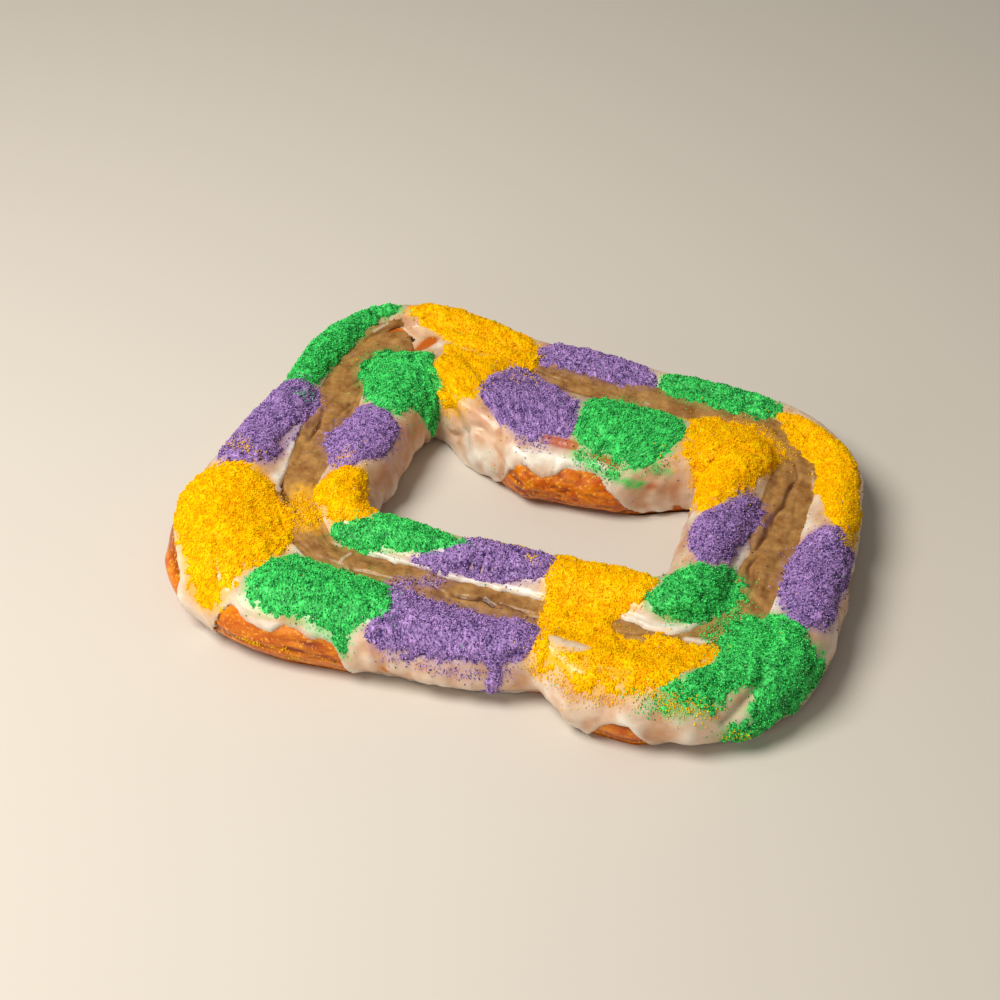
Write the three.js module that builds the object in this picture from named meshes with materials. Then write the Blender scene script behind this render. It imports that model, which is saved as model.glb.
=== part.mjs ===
// King cake: a rectangular ring of sweet dough made of an outer and an inner roll. A strip of
// filling lies in the groove between the rolls, translucent icing runs down both rolls, and
// patches of gold, green and purple sugar lie on the icing.
//
// All lengths are millimetres. +Z is up, the cake lies on z = 0 and its long side is along X.
// A place on the skin has two numbers. "along" is the way round the ring, measured on the middle
// line from the left end of the front side, anticlockwise seen from above. "across" is the way
// over the rolls: 0 is the middle of the groove, 1 the groove's edge, 4 a roll's crest, 8 its
// widest point and 11 the floor. It is positive on the outer roll and negative on the inner one.

import * as THREE from "three";

// Middle line of the ring
const middleLength = 308;
const middleDepth = 222;
const cornerRadius = 50;
const tightestRadius = 12;

// Layers, from the dough outwards
const gap = 0.3;
const doughLift = -2.4;
const icingThickness = 1.5;
const icingLip = 1.1;
const sugarThickness = 2.6;
const sugarEdge = 0.9;
const sugarSlope = 7;
const sugarLump = 0.5;
const grooveDepth = 8;
const grooveWallDrop = 6;
const grooveFloorShare = 0.8;
const fillingInset = 0.7;
const fillingCrown = 0.5;
const fillingEdgeDrop = 0.3;

// The filling is an open strip: its ends stop short of each other, where the rolls meet
const fillingStart = 722;
const fillingEnd = 640;

// Lower edge of the icing
const icingHem = 9.1;
const icingRipple = 0.3;
const icingRippleLength = 26;

// Mesh steps
const cornerSteps = 6;
const frontSteps = 11;
const sideSteps = 7;
const rows = [-11, -9.6, -8, -6.5, -5, -4, -3, -2, -1, 0, 1, 2, 3, 4, 5, 6.5, 8, 9.6, 11];
const millimetresPerAcross = 8;
const grooveGuard = 1000;

// A roll's section by "across" 0 to 11: the share of the way from the groove's edge out to the
// widest point, and the share of the roll's height.
const sectionShares = [
  [0, 0], [0, 0], [0.13, 0.86], [0.31, 0.965], [0.5, 1], [0.71, 0.95],
  [0.875, 0.8], [0.98, 0.56], [1, 0.35], [0.97, 0.17], [0.9, 0.04], [0.84, 0],
];

// The dough is rolled by hand, so its girth changes along the ring: width (middle line to widest
// point) and height of both rolls, then the groove's shift, half width and filling height.
const girths = [
  { at: 0, outer: [73, 50], inner: [52, 48], groove: [-1, 11, 36] },
  { at: 52, outer: [66, 49], inner: [50, 46], groove: [1, 12, 35] },
  { at: 104, outer: [60, 44], inner: [50, 46], groove: [1, 14, 33] },
  { at: 156, outer: [47, 46], inner: [52, 46], groove: [0, 12, 34] },
  { at: 182, outer: [60, 48], inner: [53, 48], groove: [0, 12, 36] },
  { at: 247, outer: [61, 48], inner: [55, 52], groove: [0, 13, 36] },
  { at: 347, outer: [56, 48], inner: [57, 50], groove: [2, 15, 36] },
  { at: 408, outer: [50, 45], inner: [60, 50], groove: [2, 14, 35] },
  { at: 448, outer: [41, 39], inner: [78, 49], groove: [0, 12, 33] },
  { at: 487, outer: [36, 35], inner: [97, 48], groove: [0, 12, 31] },
  { at: 591, outer: [38, 36], inner: [104, 48], groove: [-1, 13, 32] },
  { at: 632, outer: [39, 37], inner: [106, 49], groove: [0, 11, 33] },
  { at: 660, outer: [42, 39], inner: [99, 50], groove: [0, 5, 40] },
  { at: 695, outer: [45, 44], inner: [84, 50], groove: [1, 6, 42] },
  { at: 728, outer: [46, 48], inner: [60, 50], groove: [5, 12, 37] },
  { at: 774, outer: [47, 48], inner: [60, 50], groove: [5, 13, 37] },
  { at: 835, outer: [54, 47], inner: [60, 50], groove: [0, 14, 37] },
  { at: 896, outer: [64, 50], inner: [56, 50], groove: [-6, 12, 37] },
  { at: 935, outer: [79, 50], inner: [54, 48], groove: [-10, 13, 37] },
  { at: 956, outer: [77, 50], inner: [54, 48], groove: [-7, 12, 37] },
];

// Places where the icing stopped short and the baked crust shows: from, to, and the highest
// point that stays bare. The side is 1 on the outer roll and -1 on the inner one.
const crustWindows = [
  { side: 1, from: -21, to: 41, top: 6.2 },
  { side: 1, from: 191, to: 218, top: 7.4 },
  { side: 1, from: 911, to: 944, top: 6.7 },
  { side: -1, from: 487, to: 671, top: 6.4 },
  { side: -1, from: 784, to: 902, top: 7.2 },
];

// Sugar patches: the outline of each, as [along, across] places joined by a smooth line
const gold = "#f5b516";
const green = "#2fbf62";
const purple = "#8568ba";
const sugarPatches = [
  { name: "sugar_gold_front_left", colour: gold, outline: [
    [898, 2], [910, 0.8], [921, 0.2], [938, 0.3], [951, 1.2], [957, 2.6], [955, 5],
    [953, 7], [944, 6.6], [936, 6.1], [922, 6.6], [904, 6.8], [898, 5]] },
  { name: "sugar_green_front", colour: green, outline: [
    [-14, 2.2], [0, 0.9], [24, 0.9], [47, 1], [57, 3.2], [61, 4.5], [50, 5.1],
    [42, 5.8], [39, 7.2], [32, 6.5], [10, 5.7], [-12, 5.5], [-17, 4]] },
  { name: "sugar_purple_front", colour: purple, outline: [
    [48, 1], [80, 0.8], [120, 0.7], [143, 0.8], [149, 3], [147, 5.8], [134, 6.5],
    [130, 8.8], [126, 8.8], [122, 6.5], [100, 6.3], [60, 6.4], [50, 5.6], [58, 4], [52, 2.2]] },
  { name: "sugar_gold_front", colour: gold, outline: [
    [139, -6.2], [137, -3], [142, -1], [144, 0.6], [149, 1.2], [149, 5], [156, 7.1],
    [170, 5.6], [184, 6], [212, 5.6], [220, 4.6], [229, 3.2], [240, 2.2], [247, 1],
    [228, 0.2], [196, 0.2], [186, -0.6], [190, -1.8], [199, -3], [203, -5.4], [175, -6.6]] },
  { name: "sugar_green_front_right", colour: green, outline: [
    [250, 0.8], [264, 0.3], [277, 0.8], [280, 3], [275, 6], [271, 8.4], [254, 9.6],
    [240, 9.4], [238, 7.4], [224, 6.9], [219, 5.4], [224, 4], [238, 2.6]] },
  { name: "sugar_purple_right", colour: purple, outline: [
    [281, 2.8], [292, 2], [335, 1.7], [355, 2.3], [361, 4], [357, 5.8], [347, 6.8],
    [315, 6.4], [286, 6], [278, 4.4]] },
  { name: "sugar_gold_back_right", colour: gold, outline: [
    [361, 5.2], [370, 3.4], [390, 2.5], [401, 1.2], [425, 0.9], [440, 0.4], [462, 0.9],
    [469, 2.4], [455, 3.8], [430, 5], [405, 6.3], [380, 6.6]] },
  { name: "sugar_green_back", colour: green, outline: [
    [471, 0.8], [500, 0.5], [530, 0.6], [547, 1.2], [547, 3.6], [535, 5.2], [505, 5.7],
    [478, 5], [469, 3]] },
  { name: "sugar_purple_back", colour: purple, outline: [
    [551, 1.2], [570, 0.6], [605, 0.7], [636, 0.9], [638, 2.8], [628, 4.8], [600, 5.7],
    [570, 5.2], [554, 3.6]] },
  { name: "sugar_gold_back_left", colour: gold, outline: [
    [639, 0.6], [655, 0.1], [690, 0], [704, 0.7], [722, 2.4], [725, 3.8], [712, 5],
    [685, 5.5], [655, 5.2], [640, 3.8]] },
  { name: "sugar_green_back_left", colour: green, outline: [
    [725, 3.6], [742, 2.6], [752, 1.6], [772, 1.3], [798, 2.1], [808, 3.4], [806, 5.2],
    [795, 6.4], [765, 6.8], [735, 6]] },
  { name: "sugar_purple_left", colour: purple, outline: [
    [803, 1.2], [820, 0.8], [846, 1.4], [868, 1.7], [886, 2.4], [900, 4.2], [894, 5.4],
    [866, 6.3], [830, 6.4], [808, 5.2]] },
  { name: "sugar_gold_inner_front_left", colour: gold, outline: [
    [877, -4], [882, -2.6], [892, -1.5], [925, -1.4], [955, -2], [975, -2.9], [989, -3.8],
    [989, -5.2], [972, -6], [930, -6.3], [892, -6], [880, -5.2]] },
  { name: "sugar_green_inner_front", colour: green, outline: [
    [-10, -2], [4, -1], [20, -1], [34, -1.8], [60, -2.5], [77, -3.3], [86, -4.1],
    [66, -4.8], [40, -5.4], [20, -5.3], [16, -4], [2, -2.8]] },
  { name: "sugar_purple_inner_front", colour: purple, outline: [
    [52, -1.4], [62, -1], [95, -1.3], [118, -1.7], [133, -2.6], [140, -4], [137, -5.6],
    [110, -5.9], [84, -5.4], [78, -3.6], [62, -2.5]] },
  { name: "sugar_green_inner_front_right", colour: green, outline: [
    [200, -2.8], [216, -1.7], [245, -1.2], [264, -0.6], [298, -0.4], [311, -1], [300, -2.5],
    [297, -4], [284, -4.7], [245, -5], [212, -4.8], [204, -3.8]] },
  { name: "sugar_purple_inner_right", colour: purple, outline: [
    [301, -3], [314, -1.9], [345, -1], [368, -0.7], [378, -1], [370, -2.6], [352, -4.2],
    [340, -5.3], [318, -5.4], [303, -4.4]] },
  { name: "sugar_gold_inner_back_right", colour: gold, outline: [
    [346, -5.1], [370, -3.1], [395, -2], [428, -0.7], [460, -0.3], [500, -0.4], [515, -0.9],
    [513, -2.5], [497, -4], [458, -5.3], [430, -6.5], [408, -7], [370, -6.2]] },
  { name: "sugar_green_inner_back", colour: green, outline: [
    [500, -4.1], [514, -2.8], [528, -1.6], [548, -0.8], [578, -1], [586, -2.4], [582, -4.2],
    [560, -5], [520, -5.3], [488, -5.7], [484, -5.3]] },
  { name: "sugar_purple_inner_back", colour: purple, outline: [
    [588, -3], [602, -2.2], [612, -1.1], [645, -0.7], [651, -2.4], [667, -4.3], [650, -5.1],
    [610, -5.1], [582, -4.8]] },
  { name: "sugar_gold_inner_back_left", colour: gold, outline: [
    [648, -0.6], [672, -0.4], [699, -0.4], [694, -2.8], [702, -4.2], [724, -6], [718, -6.5],
    [692, -5.2], [660, -3.6], [650, -2]] },
  { name: "sugar_green_inner_back_left", colour: green, outline: [
    [722, -2.6], [736, -0.8], [755, 0], [775, -0.4], [798, -1.6], [812, -3], [816, -4.6],
    [792, -5.6], [776, -7.4], [756, -8.6], [732, -7.2], [712, -4.7], [696, -3.6], [706, -3]] },
  { name: "sugar_purple_inner_left", colour: purple, outline: [
    [811, -1.8], [830, -0.6], [854, -0.4], [869, -1.6], [877, -3.2], [868, -5], [850, -5.7],
    [822, -5.3], [815, -3.8]] },
];

const crustLook = { color: "#c9701f", roughness: 0.5, metalness: 0 };
const fillingLook = { color: "#ab7c48", roughness: 0.45, metalness: 0 };
const icingLook = { color: "#e3cdb8", roughness: 0.3, metalness: 0 };
const sugarRoughness = 0.8;

// Middle line: four straight sides, each followed by a quarter turn
const cornerLength = cornerRadius * Math.PI / 2;
const straightLengths = [middleLength, middleDepth].map((length) => length - 2 * cornerRadius);
const ringLength = 2 * (straightLengths[0] + straightLengths[1]) + 4 * cornerLength;

function wrap(value, length) {
  return ((value % length) + length) % length;
}

// Place in plan: "out" is the distance outwards from the middle line
function planPoint(along, out) {
  const radius = Math.max(cornerRadius + out, tightestRadius);
  const reach = [middleLength / 2 + out - radius, middleDepth / 2 + out - radius];
  let left = wrap(along, ringLength);
  let side = 0;
  while (side < 3 && left > straightLengths[side % 2] + cornerLength) {
    left -= straightLengths[side % 2] + cornerLength;
    side += 1;
  }
  const straight = straightLengths[side % 2];
  const halfSide = reach[side % 2];
  const halfOther = reach[(side + 1) % 2];
  const turn = Math.max(left - straight, 0) / cornerRadius;
  const onSide = Math.min(left / straight, 1) * 2 - 1;
  const point = new THREE.Vector2(halfSide * onSide, -halfOther);
  point.x += radius * Math.sin(turn);
  point.y -= radius * Math.cos(turn);
  return point.rotateAround(new THREE.Vector2(), side * Math.PI / 2);
}

// Smooth value along the ring through the girths, without overshoot
function girthValue(along, read) {
  const count = girths.length;
  const place = wrap(along, ringLength);
  let index = girths.findLastIndex((girth) => girth.at <= place);
  const at = (i) => girths[wrap(i, count)].at + Math.floor(i / count) * ringLength;
  const value = (i) => read(girths[wrap(i, count)]);
  const rise = (i) => (value(i + 1) - value(i)) / (at(i + 1) - at(i));
  const slope = (i) => {
    const before = rise(i - 1);
    const after = rise(i);
    return before * after > 0 ? 2 * before * after / (before + after) : 0;
  };
  const step = at(index + 1) - at(index);
  const t = (place - at(index)) / step;
  const settle = t * t * (3 - 2 * t);
  const bend = t * (1 - t) * step;
  return value(index) + (value(index + 1) - value(index)) * settle
    + bend * ((1 - t) * slope(index) - t * slope(index + 1));
}

function girthAt(along) {
  const read = (group, index) => girthValue(along, (girth) => girth[group][index]);
  return {
    outer: [read("outer", 0), read("outer", 1)],
    inner: [read("inner", 0), read("inner", 1)],
    shift: read("groove", 0),
    half: read("groove", 1),
    filling: read("groove", 2),
  };
}

// Place in the ring's section: distance from the middle line and height
function sectionPoint(girth, across) {
  const side = across < 0 ? -1 : 1;
  const [width, height] = side > 0 ? girth.outer : girth.inner;
  const room = width - side * girth.shift - girth.half;
  const knot = (index) => {
    const hour = Math.min(index, 11);
    if (hour < 1) {
      const crown = hour === 0 ? fillingCrown : 0;
      return new THREE.Vector2(hour * girth.half, girth.filling + crown);
    }
    const [out, up] = sectionShares[hour];
    return new THREE.Vector2(girth.half + room * out, hour === 1 ? girth.filling : height * up);
  };
  const hour = Math.min(Math.floor(Math.abs(across)), 10);
  const curve = new THREE.SplineCurve([knot(hour - 1), knot(hour), knot(hour + 1), knot(hour + 2)]);
  const point = curve.getPoint((1 + Math.abs(across) - hour) / 3);
  return new THREE.Vector2(side * point.x + girth.shift, Math.max(point.y, 0));
}

function skinPoint(along, across, girth = girthAt(along)) {
  const section = sectionPoint(girth, across);
  const plan = planPoint(along, section.x);
  return new THREE.Vector3(plan.x, plan.y, section.y);
}

function skinNormal(along, across) {
  const near = 0.5;
  const low = Math.max(across - 0.25, -11);
  const high = Math.min(across + 0.25, 11);
  const forward = skinPoint(along + near, across).sub(skinPoint(along - near, across));
  const outward = skinPoint(along, high).sub(skinPoint(along, low));
  return outward.cross(forward).normalize();
}

// Lattice on the skin that every layer shares, so that their faces run parallel
function latticeStations() {
  const stations = [];
  let start = 0;
  for (let side = 0; side < 4; side += 1) {
    const straight = straightLengths[side % 2];
    const steps = side % 2 === 0 ? frontSteps : sideSteps;
    for (let i = 0; i < steps; i += 1) stations.push(start + straight * i / steps);
    start += straight;
    for (let i = 0; i < cornerSteps; i += 1) stations.push(start + cornerLength * i / cornerSteps);
    start += cornerLength;
  }
  return stations;
}

const lattice = latticeStations().map((along) => rows.map((across) => ({
  along,
  across,
  point: skinPoint(along, across),
  normal: skinNormal(along, across),
})));

function lifted(place, lift) {
  return place.point.clone().addScaledVector(place.normal, lift);
}

// Closed mesh from points and triangles, with its faces pointing outwards
function solidGeometry(points, triangles) {
  const corner = (triangle, index) => points[triangle[index]];
  const cross = new THREE.Vector3();
  const sixVolumes = triangles.reduce((sum, triangle) => (
    sum + cross.crossVectors(corner(triangle, 1), corner(triangle, 2)).dot(corner(triangle, 0))
  ), 0);
  const faces = sixVolumes > 0 ? triangles : triangles.map(([a, b, c]) => [a, c, b]);
  const geometry = new THREE.BufferGeometry();
  geometry.setFromPoints(points);
  geometry.setIndex(faces.flat());
  geometry.computeVertexNormals();
  return geometry;
}

// Closed loops of points joined one after the other: a ring, or a strip with flat ends
function loftGeometry(loops, ring) {
  const size = loops[0].length;
  const triangles = [];
  for (let i = 0; i < loops.length - (ring ? 0 : 1); i += 1) {
    const next = (i + 1) % loops.length;
    for (let j = 0; j < size; j += 1) {
      const above = (j + 1) % size;
      const [a, b, c, d] = [i * size + j, next * size + j, next * size + above, i * size + above];
      triangles.push([a, b, c], [a, c, d]);
    }
  }
  if (!ring) {
    const last = (loops.length - 1) * size;
    for (let j = 1; j + 1 < size; j += 1) {
      triangles.push([0, j, j + 1], [last, last + j + 1, last + j]);
    }
  }
  return solidGeometry(loops.flat(), triangles);
}

// Point in the groove at a share of its half width, under the filling's top
function groovePoint(along, share, drop, inset = 0) {
  const girth = girthAt(along);
  const out = girth.shift + share * girth.half - Math.sign(share) * inset;
  const plan = planPoint(along, out);
  return new THREE.Vector3(plan.x, plan.y, girth.filling - drop);
}

function doughLoop(column) {
  const along = column[0].along;
  const wall = column.map((place) => {
    const grooveEdge = Math.abs(place.across) === 1;
    const point = lifted(place, grooveEdge ? 0 : doughLift);
    if (Math.abs(place.across) === 11) point.z = 0;
    return point;
  });
  const middle = rows.indexOf(0);
  const floor = [
    groovePoint(along, -grooveFloorShare, grooveWallDrop),
    groovePoint(along, 0, grooveDepth),
    groovePoint(along, grooveFloorShare, grooveWallDrop),
  ];
  return [...wall.slice(0, middle), ...floor, ...wall.slice(middle + 1)];
}

function fillingLoop(along) {
  return [
    groovePoint(along, -1, fillingEdgeDrop, fillingInset),
    groovePoint(along, 0, -fillingCrown),
    groovePoint(along, 1, fillingEdgeDrop, fillingInset),
    groovePoint(along, grooveFloorShare, grooveWallDrop - gap, gap),
    groovePoint(along, 0, grooveDepth - gap),
    groovePoint(along, -grooveFloorShare, grooveWallDrop - gap, gap),
  ];
}

// Keeps a value away from zero, so that an outline never grazes a lattice point
function clearOfEdge(value) {
  return value > -0.5 && value < 0.8 ? -0.5 : value;
}

// The part of each lattice triangle where the value is positive, as polygons of places
function clipTriangles(valueAt) {
  const places = new Map();
  const keep = (key, make) => {
    if (!places.has(key)) places.set(key, make());
    return key;
  };
  const inside = (corner) => keep(corner.key, () => ({ ...corner.place, value: corner.value }));
  const crossing = (from, to) => {
    const [low, high] = from.key < to.key ? [from, to] : [to, from];
    return keep(`${low.key}|${high.key}`, () => {
      const t = low.value / (low.value - high.value);
      return {
        along: THREE.MathUtils.lerp(low.place.along, high.place.along, t),
        across: THREE.MathUtils.lerp(low.place.across, high.place.across, t),
        normal: low.place.normal.clone().lerp(high.place.normal, t),
        ends: [low.place, high.place],
        t,
        value: 0,
      };
    });
  };
  const corners = lattice.map((column, i) => column.map((place, j) => ({
    key: `${i},${j}`,
    place,
    value: clearOfEdge(valueAt(place)),
  })));
  const polygons = [];
  const clip = (triangle) => {
    const polygon = [];
    triangle.forEach((corner, index) => {
      const next = triangle[(index + 1) % 3];
      if (corner.value > 0) polygon.push(inside(corner));
      if (corner.value > 0 !== next.value > 0) polygon.push(crossing(corner, next));
    });
    if (polygon.length > 2) polygons.push(polygon);
  };
  for (let i = 0; i < corners.length; i += 1) {
    const next = (i + 1) % corners.length;
    for (let j = 0; j + 1 < rows.length; j += 1) {
      clip([corners[i][j], corners[next][j], corners[next][j + 1]]);
      clip([corners[i][j], corners[next][j + 1], corners[i][j + 1]]);
    }
  }
  return { places, polygons };
}

// The largest group of polygons that hang together
function largestPatch(polygons) {
  const parent = new Map();
  const root = (key) => {
    let top = key;
    while (parent.get(top) !== top) top = parent.get(top);
    return top;
  };
  for (const polygon of polygons) {
    for (const key of polygon) {
      if (!parent.has(key)) parent.set(key, key);
      parent.set(root(key), root(polygon[0]));
    }
  }
  const groups = Map.groupBy(polygons, (polygon) => root(polygon[0]));
  return [...groups.values()].sort((a, b) => b.length - a.length)[0];
}

// A layer on the skin wherever the value is positive: its underside's lift and its thickness
function layerGeometry(valueAt, liftAt, thicknessAt) {
  const { places, polygons } = clipTriangles(valueAt);
  const patch = largestPatch(polygons);
  const keys = [...new Set(patch.flat())];
  const number = new Map(keys.map((key, index) => [key, index]));
  const underside = (place) => {
    if (!place.ends) return lifted(place, liftAt(place));
    const [low, high] = place.ends.map(underside);
    return low.lerp(high, place.t);
  };
  const lower = keys.map((key) => underside(places.get(key)));
  const upper = keys.map((key, index) => {
    const place = places.get(key);
    return lower[index].clone().addScaledVector(place.normal, thicknessAt(place));
  });
  const count = keys.length;
  const triangles = [];
  const edges = new Map();
  for (const polygon of patch) {
    const loop = polygon.map((key) => number.get(key));
    for (let i = 1; i + 1 < loop.length; i += 1) {
      triangles.push([loop[0] + count, loop[i] + count, loop[i + 1] + count]);
      triangles.push([loop[0], loop[i + 1], loop[i]]);
    }
    loop.forEach((from, i) => {
      const to = loop[(i + 1) % loop.length];
      if (!edges.delete(`${to},${from}`)) edges.set(`${from},${to}`, [from, to]);
    });
  }
  for (const [from, to] of edges.values()) {
    triangles.push([from, to, to + count], [from, to + count, from + count]);
  }
  return solidGeometry([...lower, ...upper], triangles);
}

// Icing: from the groove's edge down to an uneven hem that arches over the crust windows
function icingEdge(along, side) {
  const turns = Math.round(ringLength / icingRippleLength);
  const hem = icingHem + icingRipple * Math.sin(along / ringLength * turns * 2 * Math.PI + side);
  const arches = crustWindows.filter((window) => window.side === side).map((window) => {
    const middle = (window.from + window.to) / 2;
    const half = (window.to - window.from) / 2;
    const away = wrap(along - middle + ringLength / 2, ringLength) - ringLength / 2;
    return window.top + (hem - window.top) * (away / half) ** 6;
  });
  return Math.min(hem, ...arches);
}

// Height of the icing's underside: it rises from the dough at the groove's edge
function icingLift(place) {
  return Math.abs(place.across) <= 1 ? gap : doughLift + gap;
}

function icingGeometry(side) {
  const value = (place) => {
    if (place.across * side < 1) return -grooveGuard;
    return (icingEdge(place.along, side) - place.across * side) * millimetresPerAcross;
  };
  const thickness = (place) => (place.value > 0 ? icingThickness : icingLip);
  return layerGeometry(value, icingLift, thickness);
}

// Signed distance in millimetres from a patch's outline, positive inside
function outlineDistance(patch, along, across) {
  const middle = (patch.outline[0][0] + patch.outline.at(-1)[0]) / 2;
  const near = middle + wrap(along - middle + ringLength / 2, ringLength) - ringLength / 2;
  const place = new THREE.Vector2(near, across * millimetresPerAcross);
  const line = patch.line;
  let nearest = Infinity;
  let inside = false;
  line.forEach((from, index) => {
    const to = line[(index + 1) % line.length];
    const way = to.clone().sub(from);
    const t = THREE.MathUtils.clamp(place.clone().sub(from).dot(way) / way.lengthSq(), 0, 1);
    nearest = Math.min(nearest, place.distanceTo(from.clone().addScaledVector(way, t)));
    const spans = from.y > place.y !== to.y > place.y;
    if (spans && place.x < from.x + way.x * (place.y - from.y) / way.y) inside = !inside;
  });
  return inside ? nearest : -nearest;
}

for (const patch of sugarPatches) {
  const knots = patch.outline.map(([along, across]) => (
    new THREE.Vector3(along, across * millimetresPerAcross, 0)
  ));
  const curve = new THREE.CatmullRomCurve3(knots, true, "centripetal");
  patch.line = curve.getPoints(knots.length * 3).slice(0, -1).map(({ x, y }) => new THREE.Vector2(x, y));
}

const sugarDistances = new Map();
for (const place of lattice.flat()) {
  sugarDistances.set(place.point, sugarPatches.map((patch) => (
    outlineDistance(patch, place.along, place.across)
  )));
}

function sugarGeometry(index) {
  const value = (place) => {
    const distances = sugarDistances.get(place.point);
    const own = distances[index];
    const others = distances.filter((distance, other) => other !== index);
    return Math.min(own, (own - Math.max(...others)) / 2 - gap);
  };
  const lift = (place) => (place.across === 0 ? gap : icingLift(place) + icingThickness + gap);
  const thickness = (place) => {
    const lump = sugarLump * Math.sin(place.along / 5) * Math.sin(place.across * 2.1);
    const rise = THREE.MathUtils.smoothstep(place.value, 0, sugarSlope);
    return sugarEdge + (sugarThickness - sugarEdge + lump) * rise;
  };
  return layerGeometry(value, lift, thickness);
}

const cake = new THREE.Group();

function add(name, geometry, look) {
  const mesh = new THREE.Mesh(geometry, new THREE.MeshStandardMaterial(look));
  mesh.name = name;
  cake.add(mesh);
}

const stations = lattice.map((column) => column[0].along);
const strip = [
  ...stations.filter((along) => along > fillingStart),
  ...stations.filter((along) => along < fillingEnd),
];

add("dough", loftGeometry(lattice.map(doughLoop), true), crustLook);
add("filling", loftGeometry(strip.map(fillingLoop), false), fillingLook);
add("icing_outer", icingGeometry(1), icingLook);
add("icing_inner", icingGeometry(-1), icingLook);
sugarPatches.forEach(({ name, colour }, index) => {
  add(name, sugarGeometry(index), { color: colour, roughness: sugarRoughness, metalness: 0 });
});

// The origin is the middle of the cake's box, on the floor
const box = new THREE.Box3().setFromObject(cake);
const centre = box.getCenter(new THREE.Vector3());
cake.position.set(-centre.x, -centre.y, 0);

export default cake;
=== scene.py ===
import math

import bmesh
import bpy
import numpy as np
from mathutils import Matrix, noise


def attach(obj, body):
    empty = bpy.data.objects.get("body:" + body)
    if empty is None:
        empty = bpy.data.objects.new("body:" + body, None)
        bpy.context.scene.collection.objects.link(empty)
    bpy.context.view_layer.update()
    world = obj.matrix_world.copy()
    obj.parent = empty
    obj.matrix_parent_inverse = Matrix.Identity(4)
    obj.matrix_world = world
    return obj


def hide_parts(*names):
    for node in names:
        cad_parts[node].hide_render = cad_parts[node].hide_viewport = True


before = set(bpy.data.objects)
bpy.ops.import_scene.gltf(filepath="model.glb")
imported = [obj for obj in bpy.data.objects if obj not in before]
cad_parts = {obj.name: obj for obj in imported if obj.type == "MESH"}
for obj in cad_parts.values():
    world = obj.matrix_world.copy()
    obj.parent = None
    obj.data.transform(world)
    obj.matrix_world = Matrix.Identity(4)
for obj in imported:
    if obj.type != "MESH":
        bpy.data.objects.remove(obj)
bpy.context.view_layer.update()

mm = 0.001

# A place on the cake's skin has two numbers. "along" runs round the ring in mm, anticlockwise from
# the left end of the front side. "across" runs over the two rolls: 0 is the middle of the groove,
# 1 its edge, 4 a roll's crest, 8 its widest point and 11 the floor, with a minus on the inner roll.

ring = {
    "middle": np.array([154.0, 111.0]),      # half sizes of the middle line
    "corner": 50.0,                          # radius of its corners
    "tightest": 12.0,                        # least radius of a line inside it
    "centre": np.array([2.556, 13.105]),     # where the middle line's centre lies
    "knead": 1.1,                            # uneven swell of the hand-rolled dough
    "kneadSize": 34.0,
    "kneadFrom": (1.0, 2.4),                 # where across it sets in, beside the groove
    "kneadTo": (8.5, 10.5),                  # and where it ends, above the floor
}

# In each row: place along, outer roll's width and height, inner roll's width and height, the
# groove's shift and half width, and the filling's height
girths = np.array([
    [0, 73, 50, 52, 48, -1, 11, 36], [52, 66, 49, 50, 46, 1, 12, 35],
    [104, 60, 44, 50, 46, 1, 14, 33], [156, 47, 46, 52, 46, 0, 12, 34],
    [182, 60, 48, 53, 48, 0, 12, 36], [247, 61, 48, 55, 52, 0, 13, 36],
    [347, 56, 48, 57, 50, 2, 15, 36], [408, 50, 45, 60, 50, 2, 14, 35],
    [448, 41, 39, 78, 49, 0, 12, 33], [487, 36, 35, 97, 48, 0, 12, 31],
    [591, 38, 36, 104, 48, -1, 13, 32], [632, 39, 37, 106, 49, 0, 11, 33],
    [660, 42, 39, 99, 50, 0, 5, 40], [695, 45, 44, 84, 50, 1, 6, 42],
    [728, 46, 48, 60, 50, 5, 12, 37], [774, 47, 48, 60, 50, 5, 13, 37],
    [835, 54, 47, 60, 50, 0, 14, 37], [896, 64, 50, 56, 50, -6, 12, 37],
    [935, 79, 50, 54, 48, -10, 13, 37], [956, 77, 50, 54, 48, -7, 12, 37],
], dtype=float)

# A roll's section from the groove's edge to the floor: shares of its width and of its height
sectionOut = np.array([0, 0, 0.13, 0.31, 0.5, 0.71, 0.875, 0.98, 1, 0.97, 0.9, 0.84])
sectionUp = np.array([0, 0, 0.86, 0.965, 1, 0.95, 0.8, 0.56, 0.35, 0.17, 0.04, 0])

straights = 2 * (ring["middle"] - ring["corner"])
quarter = ring["corner"] * math.pi / 2
ringLength = 2 * straights.sum() + 4 * quarter
sideStarts = np.array([0, straights[0] + quarter, straights.sum() + 2 * quarter,
                       straights.sum() + straights[0] + 3 * quarter])

floorAcross = len(sectionOut) - 1      # place across where the skin meets the floor
widestAcross = 8                       # place across where a roll is widest
rollStep = 8.0                         # mm of skin in one step across a roll
grooveStep = 11.0                      # the same beside the groove


# ---- skin of the ring

def smoothStep(value, low, high):
    t = np.clip((value - low) / (high - low), 0, 1)
    return t * t * (3 - 2 * t)


def planPoint(along, out):
    # place seen from above, this far outside the middle line
    left = np.mod(along, ringLength)
    side = np.searchsorted(sideStarts, left, side="right") - 1
    left = left - sideStarts[side]
    straight = straights[side % 2]
    turn = np.maximum(left - straight, 0) / ring["corner"]
    onSide = np.minimum(left / straight, 1) * 2 - 1
    radius = np.maximum(ring["corner"] + out, ring["tightest"])
    x = (ring["middle"][side % 2] + out - radius) * onSide + radius * np.sin(turn)
    y = -(ring["middle"][(side + 1) % 2] + out - radius) - radius * np.cos(turn)
    cos, sin = np.cos(side * math.pi / 2), np.sin(side * math.pi / 2)
    return np.stack([x * cos - y * sin, x * sin + y * cos], -1) + ring["centre"]


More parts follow.
